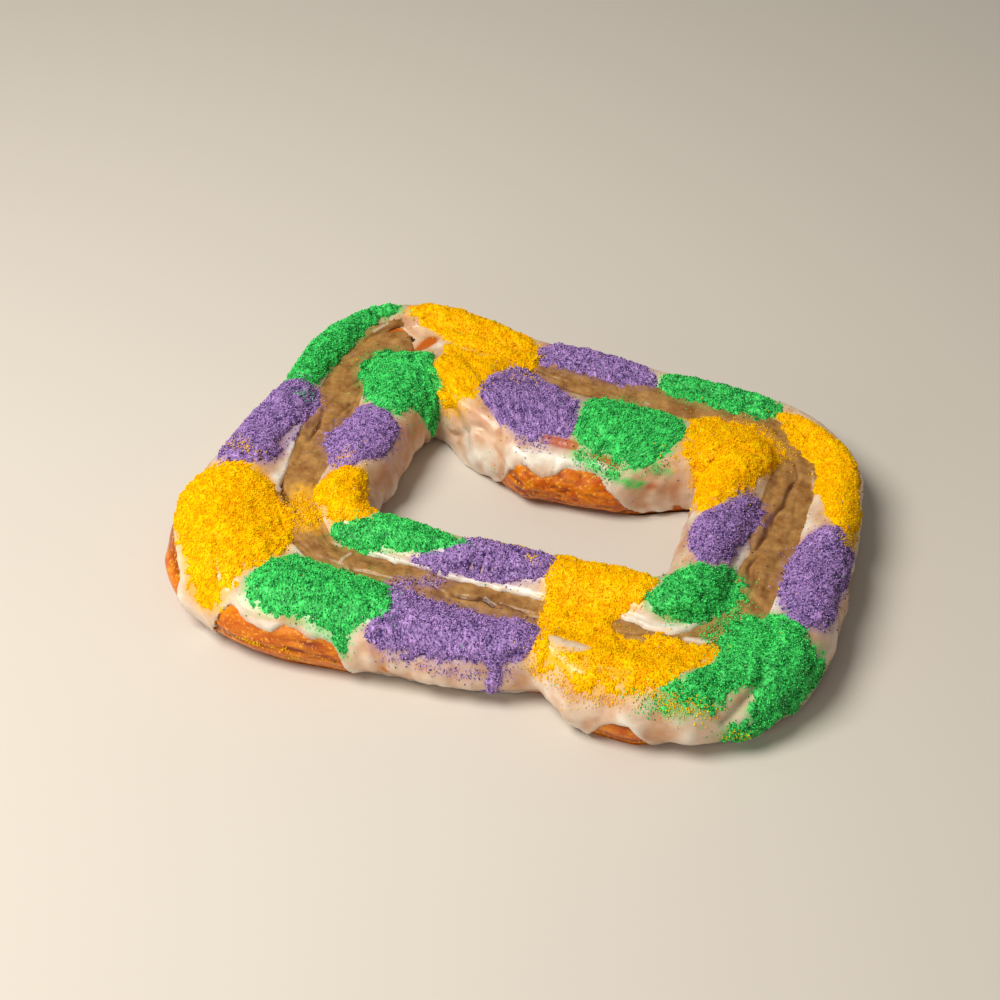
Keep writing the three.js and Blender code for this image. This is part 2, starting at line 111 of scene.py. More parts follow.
def girthAt(along):
    # smooth and without overshoot between the stations
    stops = np.append(girths[:, 0], ringLength)
    values = np.vstack([girths[:, 1:], girths[:1, 1:]])
    rise = np.diff(values, axis=0) / np.diff(stops)[:, None]
    before, after = np.roll(rise, 1, axis=0), rise
    both = before * after > 0
    slope = np.where(both, 2 * before * after / np.where(both, before + after, 1), 0)
    slope = np.vstack([slope, slope[:1]])
    place = np.mod(along, ringLength)
    k = np.clip(np.searchsorted(stops, place, side="right") - 1, 0, len(stops) - 2)
    step = (stops[k + 1] - stops[k])[..., None]
    t = (place - stops[k])[..., None] / step
    settle = t * t * (3 - 2 * t)
    bend = t * (1 - t) * step
    return values[k] * (1 - settle) + values[k + 1] * settle + bend * ((1 - t) * slope[k] - t * slope[k + 1])


def sectionPoint(girth, across):
    # how far outside the middle line a place across lies, and how high
    side = np.where(across < 0, -1.0, 1.0)
    outer = side > 0
    width = np.where(outer, girth[..., 0], girth[..., 2])
    height = np.where(outer, girth[..., 1], girth[..., 3])
    shift, half, filling = girth[..., 4], girth[..., 5], girth[..., 6]
    room = width - side * shift - half

    def knot(index):
        place = np.minimum(index, floorAcross)
        row = np.maximum(place, 0)
        x = np.where(place < 1, place * half, half + room * sectionOut[row])
        z = np.where(place <= 1, filling + 0.5 * (place == 0), height * sectionUp[row])
        return x, z

    # smooth line through the knots on both sides of the place
    first = np.minimum(np.floor(np.abs(across)), floorAcross - 1).astype(int)
    t = np.abs(across) - first
    point = []
    for a, b, c, d in zip(*[knot(first + step) for step in (-1, 0, 1, 2)]):
        point.append(0.5 * (2 * b + (c - a) * t + (2 * a - 5 * b + 4 * c - d) * t ** 2
                            + (3 * b - a - 3 * c + d) * t ** 3))
    return side * point[0] + shift, np.maximum(point[1], 0)


# How far each roll's foot is tucked in under it, as (along, mm), and over which places across
feet = {
    "zone": (7.6, 10),
    1: [(-30, 2), (0, 1), (38, 2), (48, 7), (140, 8), (165, 10), (182, 4), (192, 1), (214, 1), (225, 7),
        (245, 3), (262, 0), (880, 0), (905, 4), (945, 4)],
    -1: [(0, 0), (470, 0), (690, 0), (770, 0), (790, 7), (895, 7), (920, 0)],
}


def alongRing(stops, along):
    # value between the given stops, each one (along, value)
    places, values = zip(*stops)
    return np.interp(along, places, values, period=ringLength)


def ringAway(along, middle):
    # how far a place is from another one, the short way round the ring
    return np.mod(along - middle + ringLength / 2, ringLength) - ringLength / 2


def plainSkin(along, across):
    # the skin before its swell, in mm
    out, up = sectionPoint(girthAt(along), across)
    tucked = np.where(across < 0, -alongRing(feet[-1], along), alongRing(feet[1], along))
    out = out - tucked * smoothStep(np.abs(across), *feet["zone"])
    return np.concatenate([planPoint(along, out), up[..., None]], -1)


def skinNormal(along, across):
    near, step = 0.5, 0.25
    forward = plainSkin(along + near, across) - plainSkin(along - near, across)
    low = np.maximum(across - step, -floorAcross)
    high = np.minimum(across + step, floorAcross)
    outward = plainSkin(along, high) - plainSkin(along, low)
    normal = np.cross(outward, forward)
    return normal / np.maximum(np.linalg.norm(normal, axis=-1), 1e-9)[..., None]


def fractal(points, size, seed, octaves=2):
    # seeded noise of about -1 to 1, with features of the given size in mm
    spots = points / size + np.array([seed * 17.3, seed * 5.1, seed * 9.7])
    return np.fromiter((noise.fractal(spot, 1.0, 2.0, octaves) for spot in spots.tolist()), float, len(spots))


def ringSpots(along, across, length, width):
    # noise domain that closes round the ring, stretched to streaks of length by width
    angle = along / ringLength * 2 * math.pi
    radius = ringLength / (2 * math.pi * length)
    return np.stack([radius * np.cos(angle), radius * np.sin(angle), across * rollStep / width], -1)


def onLine(line, steps):
    # along and across on a line of such places, where step 0 is its first place and 1 its second
    return [np.interp(steps, np.arange(len(line)), part) for part in np.array(line, float).T]


def nearLine(points, line):
    # distance in mm from a line drawn on the skin, tried at 12 spots in each of its stretches
    stretches = len(line) - 1
    spots = plainSkin(*onLine(line, np.linspace(0, stretches, 12 * stretches + 1)))
    near = np.full(len(points), np.inf)
    for spot in spots:
        near = np.minimum(near, ((points - spot) ** 2).sum(-1))
    return np.sqrt(near)


def drawn(points, marks):
    # sum of soft strokes: each is a line on the skin, its radius in mm and its amount
    total = np.zeros(len(points))
    for line, radius, amount in marks:
        total += amount * np.exp(-(nearLine(points, line) / radius) ** 2)
    return total


# Dents (-) and swellings (+) of the rolls: line, radius, height in mm
dents = [
    ([(271, 2.4), (262, 3.6), (256, 4.0), (252, 5.2), (246, 6.0), (238, 6.9)], 3.2, -3.6),  # front fold
    ([(228, 2.2), (240, 3.4)], 5, -1.4),
    ([(230, 4.6), (244, 3.2)], 8, 1.5),
    ([(262, 6.0), (272, 4.4)], 10, 1.5),
    ([(118, 7.6)], 11, 0.9),
    ([(172, 7.6)], 10, 1.0),
    ([(200, 6.3)], 7, -1.2),
    ([(152, 6.6), (156, 9)], 4, -1.8),
    ([(700, -0.6), (672, -2.6), (652, -3.6)], 4.5, -2.4),               # folds of the back left corner
    ([(716, -5.0), (702, -7.6)], 6, -3.4),
    ([(714, -8.2), (704, -7.0), (692, -6.2), (683, -6.0)], 2.6, -2.8),
    ([(683, -6.0), (670, -6.1), (661, -5.7)], 2.6, -2.2),
    ([(700, -8.0), (680, -7.8)], 8, 2.0),
    ([(700, -5.3), (672, -5.2)], 7, 1.6),
    ([(650, -5.8), (636, -5.9)], 6, 1.0),
    ([(515, -5.3), (605, -5.2)], 2.6, -1.2),                            # crease above the bare crust
    ([(893, -4.4), (888, -6.4)], 6, -1.6),
    ([(877, -3.0), (880, -6)], 4, -1.2),
    ([(860, 5.2)], 22, 0.8),
    ([(930, 7.2), (940, 7.7)], 12, 3.0),
    ([(722, 3.6), (736, 2.6)], 4, -1.0),                                # dips between the mounds
    ([(803, 2.4), (806, 5.4)], 3.5, -0.9),
    ([(549, 1.2), (550, 4)], 3.5, -1.2),
    ([(638, 0.8), (639, 4.2)], 4, -1.4),
    ([(470, 1), (470, 3.6)], 3.5, -1.0),
    ([(148, 1.6), (149, 5.8)], 4, -1.0),
    ([(586, -2.2), (584, -4.6)], 3.5, -1.2),
    ([(898, 2), (900, 6)], 4, -1.2),
    ([(957, 2.2), (956, 6.2)], 4, -1.3),
    ([(812, -2.4), (816, -4.8)], 4, -1.2),
    ([(300, -2.6), (300, -4.6)], 4, -1.2),
]


def skin(along, across):
    # skin with its uneven swell, and its normals
    points, normals = plainSkin(along, across), skinNormal(along, across)
    edge = np.abs(across)
    free = smoothStep(edge, *ring["kneadFrom"]) * (1 - smoothStep(edge, *ring["kneadTo"]))
    swell = ring["knead"] * fractal(points, ring["kneadSize"], 3) + drawn(points, dents)
    return points + normals * (free * swell)[:, None], normals


def onRoll(across):
    # 0 in the groove and 1 on the rolls
    return smoothStep(np.abs(across), 1.0, 2.0)


def evenStops(across, step):
    # stations round the ring with even spacing on the given line
    along = np.linspace(0, ringLength, 2000)
    line = plainSkin(along, np.full_like(along, across))
    run = np.append(0, np.cumsum(np.linalg.norm(np.diff(line, axis=0), axis=1)))
    return np.interp(np.linspace(0, run[-1], int(run[-1] / step) + 1), run, along)


# ---- meshes on the skin

def skinGrid(alongStops, acrossStops):
    # grid whose vertices stand for the given stops, with each vertex's place on the skin
    bm = bmesh.new()
    bmesh.ops.create_grid(bm, x_segments=len(alongStops) - 1, y_segments=len(acrossStops) - 1, size=1)
    flat = np.array([vert.co for vert in bm.verts])
    index = (flat[:, :2] + 1) / 2 * np.array([len(alongStops) - 1, len(acrossStops) - 1])
    along = np.interp(index[:, 0], np.arange(len(alongStops)), alongStops)
    across = np.interp(index[:, 1], np.arange(len(acrossStops)), acrossStops)
    return bm, along, across


def setPlaces(bm, points):
    for vert, point in zip(bm.verts, (points * mm).tolist()):
        vert.co = point


def setValues(bm, **values):
    # numbers or colours that the materials read
    for name, data in values.items():
        layers = bm.verts.layers.float if data.ndim == 1 else bm.verts.layers.float_color
        layer = layers.new(name)
        for vert, value in zip(bm.verts, data.tolist()):
            vert[layer] = value


def trim(bm, keep):
    bmesh.ops.delete(bm, geom=[vert for vert, kept in zip(bm.verts, keep) if not kept], context="VERTS")


def newObject(name, data):
    item = bpy.data.objects.new(name, data)
    bpy.context.collection.objects.link(item)
    return item


def newPiece(name, mesh, material):
    mesh.materials.append(material)
    piece = newObject(name, mesh)
    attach(piece, "root")
    return piece


def finishMesh(bm, name, material, weld=True):
    if weld:
        bmesh.ops.remove_doubles(bm, verts=bm.verts, dist=1e-6)
    loose = [vert for vert in bm.verts if not vert.link_faces]
    bmesh.ops.delete(bm, geom=loose, context="VERTS")
    mesh = bpy.data.meshes.new(name)
    bm.to_mesh(mesh)
    bm.free()
    mesh.shade_smooth()
    return newPiece(name, mesh, material)


def thicken(piece, thickness):
    shell = piece.modifiers.new("shell", "SOLIDIFY")
    shell.thickness = thickness * mm
    shell.offset = -1
    return piece


def faceUp(bm, normals):
    # turns the grid's faces the way the skin's normals point
    bm.normal_update()
    bm.verts.index_update()
    bm.faces.ensure_lookup_table()
    face = bm.faces[len(bm.faces) // 2]
    if face.normal.dot(normals[face.verts[0].index]) < 0:
        bmesh.ops.reverse_faces(bm, faces=bm.faces)


# ---- materials

def newMaterial(name, finish):
    # the finish gives the values of the shader's own sockets
    material = bpy.data.materials.new(name)
    material.use_nodes = True
    shader = material.node_tree.nodes["Principled BSDF"]
    for socket, value in finish.items():
        shader.inputs[socket].default_value = value
    return material, shader


def addNode(material, kind, **inputs):
    node = material.node_tree.nodes.new(kind)
    for socket, value in inputs.items():
        node.inputs[socket].default_value = value
    return node


def join(material, source, target):
    material.node_tree.links.new(source, target)


def readValue(material, name):
    node = addNode(material, "ShaderNodeAttribute")
    node.attribute_name = name
    return node


def noiseTexture(material, size, detail=2.0, roughness=0.5):
    # noise on Object coordinates, with features of the given size in mm
    place = addNode(material, "ShaderNodeTexCoord")
    texture = addNode(material, "ShaderNodeTexNoise",
                      Scale=1 / (size * mm), Detail=detail, Roughness=roughness)
    join(material, place.outputs["Object"], texture.inputs["Vector"])
    return texture.outputs["Fac"]


def ramp(material, factor, low, high, start=0.0, end=1.0):
    node = addNode(material, "ShaderNodeValToRGB")
    stops = node.color_ramp.elements
    stops[0].position, stops[0].color = start, (*low, 1)
    stops[1].position, stops[1].color = end, (*high, 1)
    join(material, factor, node.inputs["Fac"])
    return node.outputs["Color"]


def mask(material, name, start, end, most=1.0):
    # share of 0 to most, as a vertex value goes from start to end
    return ramp(material, readValue(material, name).outputs["Fac"], (0, 0, 0), (most,) * 3, start, end)


def blendColours(material, factor, low, high, kind="MIX"):
    node = addNode(material, "ShaderNodeMix")
    node.data_type, node.blend_type = "RGBA", kind
    for value, socket in zip((factor, low, high), (node.inputs[0], node.inputs[6], node.inputs[7])):
        if isinstance(value, (float, tuple)):
            socket.default_value = value if isinstance(value, float) else (*value, 1)
        else:
            join(material, value, socket)
    return node.outputs[2]


def addBump(material, shader, height, strength, distance):
    bump = addNode(material, "ShaderNodeBump", Strength=strength, Distance=distance * mm)
    join(material, height, bump.inputs["Height"])
    if shader.inputs["Normal"].is_linked:
        join(material, shader.inputs["Normal"].links[0].from_socket, bump.inputs["Normal"])
    join(material, bump.outputs["Normal"], shader.inputs["Normal"])


def linear(red, green, blue):
    # screen colour, 0 to 255, as the light it stands for
    return tuple(((part / 255 + 0.055) / 1.055) ** 2.4 if part > 10 else part / 255 / 12.92
                 for part in (red, green, blue))


# ---- sugar patches: the outline of each, as (along, across) places joined by a smooth line

sugarColours = {
    "gold": {"deep": linear(232, 150, 0), "bright": linear(254, 220, 2),
             "film": linear(240, 178, 20), "shine": 0.04, "seed": 4},
    "green": {"deep": linear(0, 92, 30), "bright": linear(88, 254, 126),
              "film": linear(86, 196, 98), "shine": 0.15, "seed": 5},
    "purple": {"deep": linear(54, 34, 94), "bright": linear(206, 165, 231),
               "film": linear(156, 122, 166), "shine": 0.15, "seed": 6},
}

patches = [
    ("gold", "front_left", [
        (898, 2), (910, 0.8), (921, 0.2), (938, 0.3), (951, 1.2), (957, 2.6), (954, 5), (954, 6.6),
        (949, 7.1), (943, 6.4), (934, 5.9), (922, 6.2), (904, 6.5), (898, 5)]),
    ("green", "front", [
        (-14, 2.2), (0, 0.9), (24, 0.9), (47, 1), (57, 3.2), (61, 4.5), (50, 5.1), (42, 5.8),
        (39, 7.2), (32, 6.5), (10, 5.7), (-12, 5.5), (-17, 4)]),
    ("purple", "front", [
        (48, 1), (80, 0.8), (120, 0.7), (143, 0.8), (149, 3), (147, 5.6), (135, 6.2), (130.5, 8.9),
        (128, 8.9), (125, 6.1), (100, 6.2), (60, 6.3), (50, 5.6), (58, 4), (52, 2.2)]),
    ("gold", "front", [
        (139, -6.2), (137, -3), (142, -1), (144, 0.6), (149, 1.2), (149, 5), (155, 6.7), (168, 5.5),
        (184, 6), (212, 5.4), (220, 4.8), (229, 3.4), (240, 2.4), (249, 0.8), (238, 0.2), (226, -0.2),
        (214, -0.3), (204, 0.2), (192, 0.1), (186, -0.9), (193, -1.8), (200, -2.5), (203, -3.5), (206, -5.4),
        (176, -6.6)]),
    ("green", "front_right", [
        (250, 0.6), (264, 0.1), (279, 0.5), (281, 2.2), (278, 3.9), (273, 5.2), (275, 6.4), (271, 7.8),
        (262, 8.9), (255, 8.4), (249, 9.3), (243, 9.2), (238, 8.2), (238, 7.4), (243, 7.1), (246, 6.4),
        (250, 5.6), (245, 5.3), (239, 5.4), (238, 6.1), (230, 6.1), (221, 6.0), (220, 4.9), (230, 3.7),
        (241, 2.8)]),
    ("purple", "right", [
        (281, 2.8), (292, 1.8), (308, 1.2), (342, 1.2), (355, 2.3), (361, 4), (357, 5.8), (347, 6.8),
        (315, 6.4), (286, 6), (278, 4.4)]),
    ("gold", "back_right", [
        (361, 5.2), (370, 3.4), (390, 2.5), (401, 1.2), (425, 0.9), (440, 0.4), (462, 0.9),
        (469, 2.4), (455, 3.8), (430, 5), (405, 6.3), (380, 6.6)]),
    ("green", "back", [
        (471, 0.8), (500, 0.5), (530, 0.6), (547, 1.2), (547, 3.6), (535, 5.2), (505, 5.7),
        (478, 5), (469, 3)]),
    ("purple", "back", [
        (551, 1.2), (570, 0.6), (605, 0.7), (636, 0.9), (638, 2.8), (628, 4.8), (600, 5.7),
        (570, 5.2), (554, 3.6)]),
    ("gold", "back_left", [
        (634, 0.4), (645, -0.6), (668, -1.0), (692, -0.9), (706, 0.4), (718, 2.4), (723, 3.4), (712, 5),
        (685, 5.5), (655, 5.2), (640, 3.8)]),
    ("green", "back_left", [
        (725, 3.6), (742, 2.6), (752, 1.6), (772, 1.3), (798, 2.1), (808, 3.4), (806, 5.2),
        (795, 6.4), (765, 6.8), (735, 6)]),
    ("purple", "left", [
        (803, 1.2), (820, 0.8), (846, 1.4), (868, 1.7), (886, 2.4), (900, 4.2), (894, 5.4),
        (866, 6.3), (830, 6.4), (808, 5.2)]),
    ("gold", "inner_front_left", [
        (877, -4), (882, -2.6), (892, -1.5), (925, -1.4), (955, -2), (975, -2.9), (989, -3.8),
        (989, -5.2), (972, -6), (930, -6.3), (892, -6), (880, -5.2)]),
    ("green", "inner_front", [
        (-10, -2), (4, -1), (20, -1), (34, -1.8), (60, -2.5), (77, -3.3), (86, -4.1), (66, -4.8),
        (40, -5.4), (20, -5.3), (16, -4), (2, -2.8)]),
    ("purple", "inner_front", [
        (52, -1.4), (62, -1), (95, -1.3), (118, -1.7), (133, -2.6), (140, -4), (137, -5.6),
        (110, -5.9), (84, -5.4), (78, -3.6), (62, -2.5)]),
    ("green", "inner_front_right", [
        (200, -2.8), (216, -1.7), (245, -1.2), (264, -0.6), (298, -0.4), (311, -1), (300, -2.5),
        (297, -4), (284, -4.7), (245, -5), (212, -4.8), (204, -3.8)]),
    ("purple", "inner_right", [
        (301, -3), (314, -1.9), (345, -1), (368, -0.7), (378, -1), (370, -2.6), (352, -4.2),
        (340, -5.3), (318, -5.4), (303, -4.4)]),
    ("gold", "inner_back_right", [
        (346, -5.1), (370, -3.1), (395, -2), (428, -0.7), (460, -0.3), (500, -0.4), (515, -0.9),
        (512, -2.6), (503, -3.6), (466, -4.7), (434, -5.8), (412, -7.2), (370, -6.2)]),
    ("green", "inner_back", [
        (500, -4.1), (514, -2.8), (528, -1.6), (548, -0.8), (578, -1), (586, -2.4), (582, -4.2),
        (560, -5), (520, -5.3), (488, -5.7), (484, -5.3)]),
    ("purple", "inner_back", [
        (588, -3), (602, -2.2), (612, -1.1), (645, -0.7), (651, -2.4), (667, -4.3), (650, -5.1),
        (610, -5.1), (582, -4.8)]),
    ("gold", "inner_back_left", [
        (646, -0.8), (668, -1.1), (698, -1.2), (694, -2.8), (702, -4.2), (724, -6), (718, -6.5),
        (692, -5.2), (660, -3.6), (650, -2)]),
    ("green", "inner_back_left", [
        (722, -2.6), (736, -0.8), (755, 0), (775, -0.4), (798, -1.6), (812, -3), (816, -4.6),
        (792, -5.6), (776, -7.4), (756, -8.6), (732, -7.2), (712, -4.7), (696, -3.6), (706, -3)]),
    ("purple", "inner_left", [
        (811, -1.8), (830, -0.6), (854, -0.4), (869, -1.6), (877, -3.2), (868, -5), (850, -5.7),
        (822, -5.3), (815, -3.8)]),
]

# The raster of the skin that holds the distances from the outlines: a column each mm along, and
# eight rows in each step across
fieldReach = 16.0       # mm past an outline that its distance is known
fieldColumns = int(ringLength) + 1
fieldAlong = np.arange(fieldColumns) * ringLength / fieldColumns
fieldAcross = np.linspace(-floorAcross, floorAcross, 8 * 2 * floorAcross + 1)


def smoothOutline(knots):
    # closed centripetal Catmull-Rom line through the knots, in mm
    points = np.array(knots, float) * np.array([1, rollStep])
    a, b, c, d = [np.roll(points, shift, axis=0) for shift in (1, 0, -1, -2)]
    spans = [np.linalg.norm(q - p, axis=1) for p, q in ((a, b), (b, c), (c, d))]
    before, here, after = np.sqrt(spans)[..., None]
    start = ((b - a) / before - (c - a) / (before + here) + (c - b) / here) * here
    end = ((c - b) / here - (d - b) / (here + after) + (d - c) / after) * here
    line = []
    for t in (0, 0.25, 0.5, 0.75):
        line.append((2 * t ** 3 - 3 * t ** 2 + 1) * b + (t ** 3 - 2 * t ** 2 + t) * start
                    + (3 * t ** 2 - 2 * t ** 3) * c + (t ** 3 - t ** 2) * end)
    return np.stack(line, 1).reshape(-1, 2)


def outlineDistance(line, along, across):
    # signed distance in mm from a closed line, positive inside
    place = np.stack([along, across * rollStep], -1)[:, None, :]
    start, end = line[None], np.roll(line, -1, axis=0)[None]
    way = end - start
    t = np.clip(((place - start) * way).sum(-1) / (way ** 2).sum(-1), 0, 1)
    near = np.linalg.norm(place - start - way * t[..., None], axis=-1).min(1)
    spans = (start[..., 1] > place[..., 1]) != (end[..., 1] > place[..., 1])
    rise = np.where(way[..., 1] == 0, 1, way[..., 1])
    crossing = start[..., 0] + way[..., 0] * (place[..., 1] - start[..., 1]) / rise
    inside = (spans & (place[..., 0] < crossing)).sum(1) % 2 == 1
    return np.where(inside, near, -near)


def patchField(knots):
    # the distance from a patch's outline on a raster of the whole skin
    line = smoothOutline(knots)
    middle = (line[:, 0].min() + line[:, 0].max()) / 2
    near = middle + ringAway(fieldAlong, middle)
    low, high = line.min(0) - fieldReach, line.max(0) + fieldReach
    columns = np.where((near > low[0]) & (near < high[0]))[0]
    rows = np.where((fieldAcross * rollStep > low[1]) & (fieldAcross * rollStep < high[1]))[0]
    along, across = np.meshgrid(near[columns], fieldAcross[rows], indexing="ij")
    field = np.full((fieldColumns, len(fieldAcross)), -fieldReach)
    distance = outlineDistance(line, along.ravel(), across.ravel()).reshape(along.shape)
    field[np.ix_(columns, rows)] = np.maximum(distance, -fieldReach)
    return field


def readField(field, along, across):
    # the distance at any place, between those of the raster
    x = np.mod(along, ringLength) / ringLength * fieldColumns
    y = (np.clip(across, -floorAcross, floorAcross) + floorAcross) / (2 * floorAcross)
    y = y * (len(fieldAcross) - 1)
    i, j = np.floor(x).astype(int), np.minimum(np.floor(y).astype(int), len(fieldAcross) - 2)
    u, v = x - i, y - j
    i, k = i % fieldColumns, (i + 1) % fieldColumns
    return ((field[i, j] * (1 - v) + field[i, j + 1] * v) * (1 - u)
            + (field[k, j] * (1 - v) + field[k, j + 1] * v) * u)


patchFields = [patchField(knots) for colour, name, knots in patches]
colourFields = {}
for colour in sugarColours:
    mine = [field for field, patch in zip(patchFields, patches) if patch[0] == colour]
    colourFields[colour] = np.max(mine, axis=0)
print("skin and sugar outlines ready")


# ---- dough

dough = {
    "step": 1.8,
    "underIcing": 2.4,           # room that it leaves for the icing
    "ridge": 0.8,                # height of the crust's ridges
    "ridgeLength": 30.0,
    "ridgeWidth": 4.2,
    "wrinkle": 0.35,
    "wrinkleLength": 13.0,
    "wrinkleWidth": 2.2,
    "reliefFrom": (4, 6),        # where across the ridges set in, and where they end
    "reliefTo": (10, 10.8),
    "grooveShare": [0.0, 0.8, 1.0],      # places across the groove
    "grooveDrop": [8.0, 6.0, 0.0],       # how deep it lies under the filling's top there
    "bottom": 4,                 # steps across the flat bottom, from foot to foot
    "finish": {"Roughness": 0.4, "Coat Weight": 0.2, "Coat Roughness": 0.22, "Specular IOR Level": 0.22},
}


def doughLift(across):
    return -dough["underIcing"] * onRoll(across)


def doughStops():
    # close together on the bare sides, wider under the icing, and on across the bottom
    bare = np.linspace(-floorAcross, -5.2, 52)
    iced = np.linspace(1, 5, 9)
    bottom = np.linspace(floorAcross, floorAcross + dough["bottom"], 8)[1:]
    return np.concatenate([bare, -iced[::-1], [-0.8, 0, 0.8], iced, -bare[::-1], bottom])


def sinkGroove(points, along, across):
    mine = np.abs(across) < 1
    girth = girthAt(along)
    drop = np.interp(np.abs(across), dough["grooveShare"], dough["grooveDrop"])
    points[mine, :2] = planPoint(along, girth[:, 4] + across * girth[:, 5])[mine]
    points[mine, 2] = (girth[:, 6] - drop)[mine]


def closeBottom(points, along, turn):
    # flat on the floor, from the outer roll's foot to the inner roll's
    under = turn > floorAcross
    outer, inner = [plainSkin(along, np.full_like(along, foot)) for foot in (floorAcross, -floorAcross)]
    share = ((turn - floorAcross) / dough["bottom"])[:, None]
    points[under] = (outer * (1 - share) + inner * share)[under]
    points[np.abs(turn) >= floorAcross - 1e-6, 2] = 0


def buildDough():
    bm, along, turn = skinGrid(evenStops(widestAcross, dough["step"]), doughStops())
    across = np.clip(turn, -floorAcross, floorAcross)
    points, normals = skin(along, across)
    streak = fractal(ringSpots(along, across, dough["ridgeLength"], dough["ridgeWidth"]), 1, 5, 3)
    wrinkle = fractal(ringSpots(along, across, dough["wrinkleLength"], dough["wrinkleWidth"]), 1, 6, 2)
    edge = np.abs(across)
    bareness = smoothStep(edge, *dough["reliefFrom"]) * (1 - smoothStep(edge, *dough["reliefTo"]))
    relief = dough["ridge"] * streak + dough["wrinkle"] * wrinkle
    points = points + normals * (doughLift(across) + relief * bareness)[:, None]
    sinkGroove(points, along, across)
    closeBottom(points, along, turn)
    setPlaces(bm, points)
    # painted shade: the crust is painted darker brown in the troughs between its ridges and wrinkles
    setValues(bm, seam=np.clip(0.5 - 0.4 * (streak + 0.8 * wrinkle), 0, 1))
    bmesh.ops.remove_doubles(bm, verts=bm.verts, dist=2e-6)
    bmesh.ops.recalc_face_normals(bm, faces=bm.faces)
    piece = finishMesh(bm, "dough_loaf", crustMaterial(), weld=False)
    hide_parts("dough")


def crustMaterial():
    material, shader = newMaterial("baked_crust", dough["finish"])
    brown = noiseTexture(material, 9, 5, 0.6)
    baked = ramp(material, brown, linear(190, 82, 1), linear(220, 128, 8), 0.36, 0.64)
    # painted shade: darker brown where the ridges sink
    creaseShaded = blendColours(material, mask(material, "seam", 0.45, 0.84), baked, linear(134, 50, 2))
    specks = ramp(material, noiseTexture(material, 2.2, 3), (0, 0, 0), (0.8, 0.8, 0.8), 0.56, 0.72)
    join(material, blendColours(material, specks, creaseShaded, linear(242, 180, 66)), shader.inputs["Base Color"])
    addBump(material, shader, noiseTexture(material, 1.5, 4), 0.5, 0.5)
    return material


# ---- icing

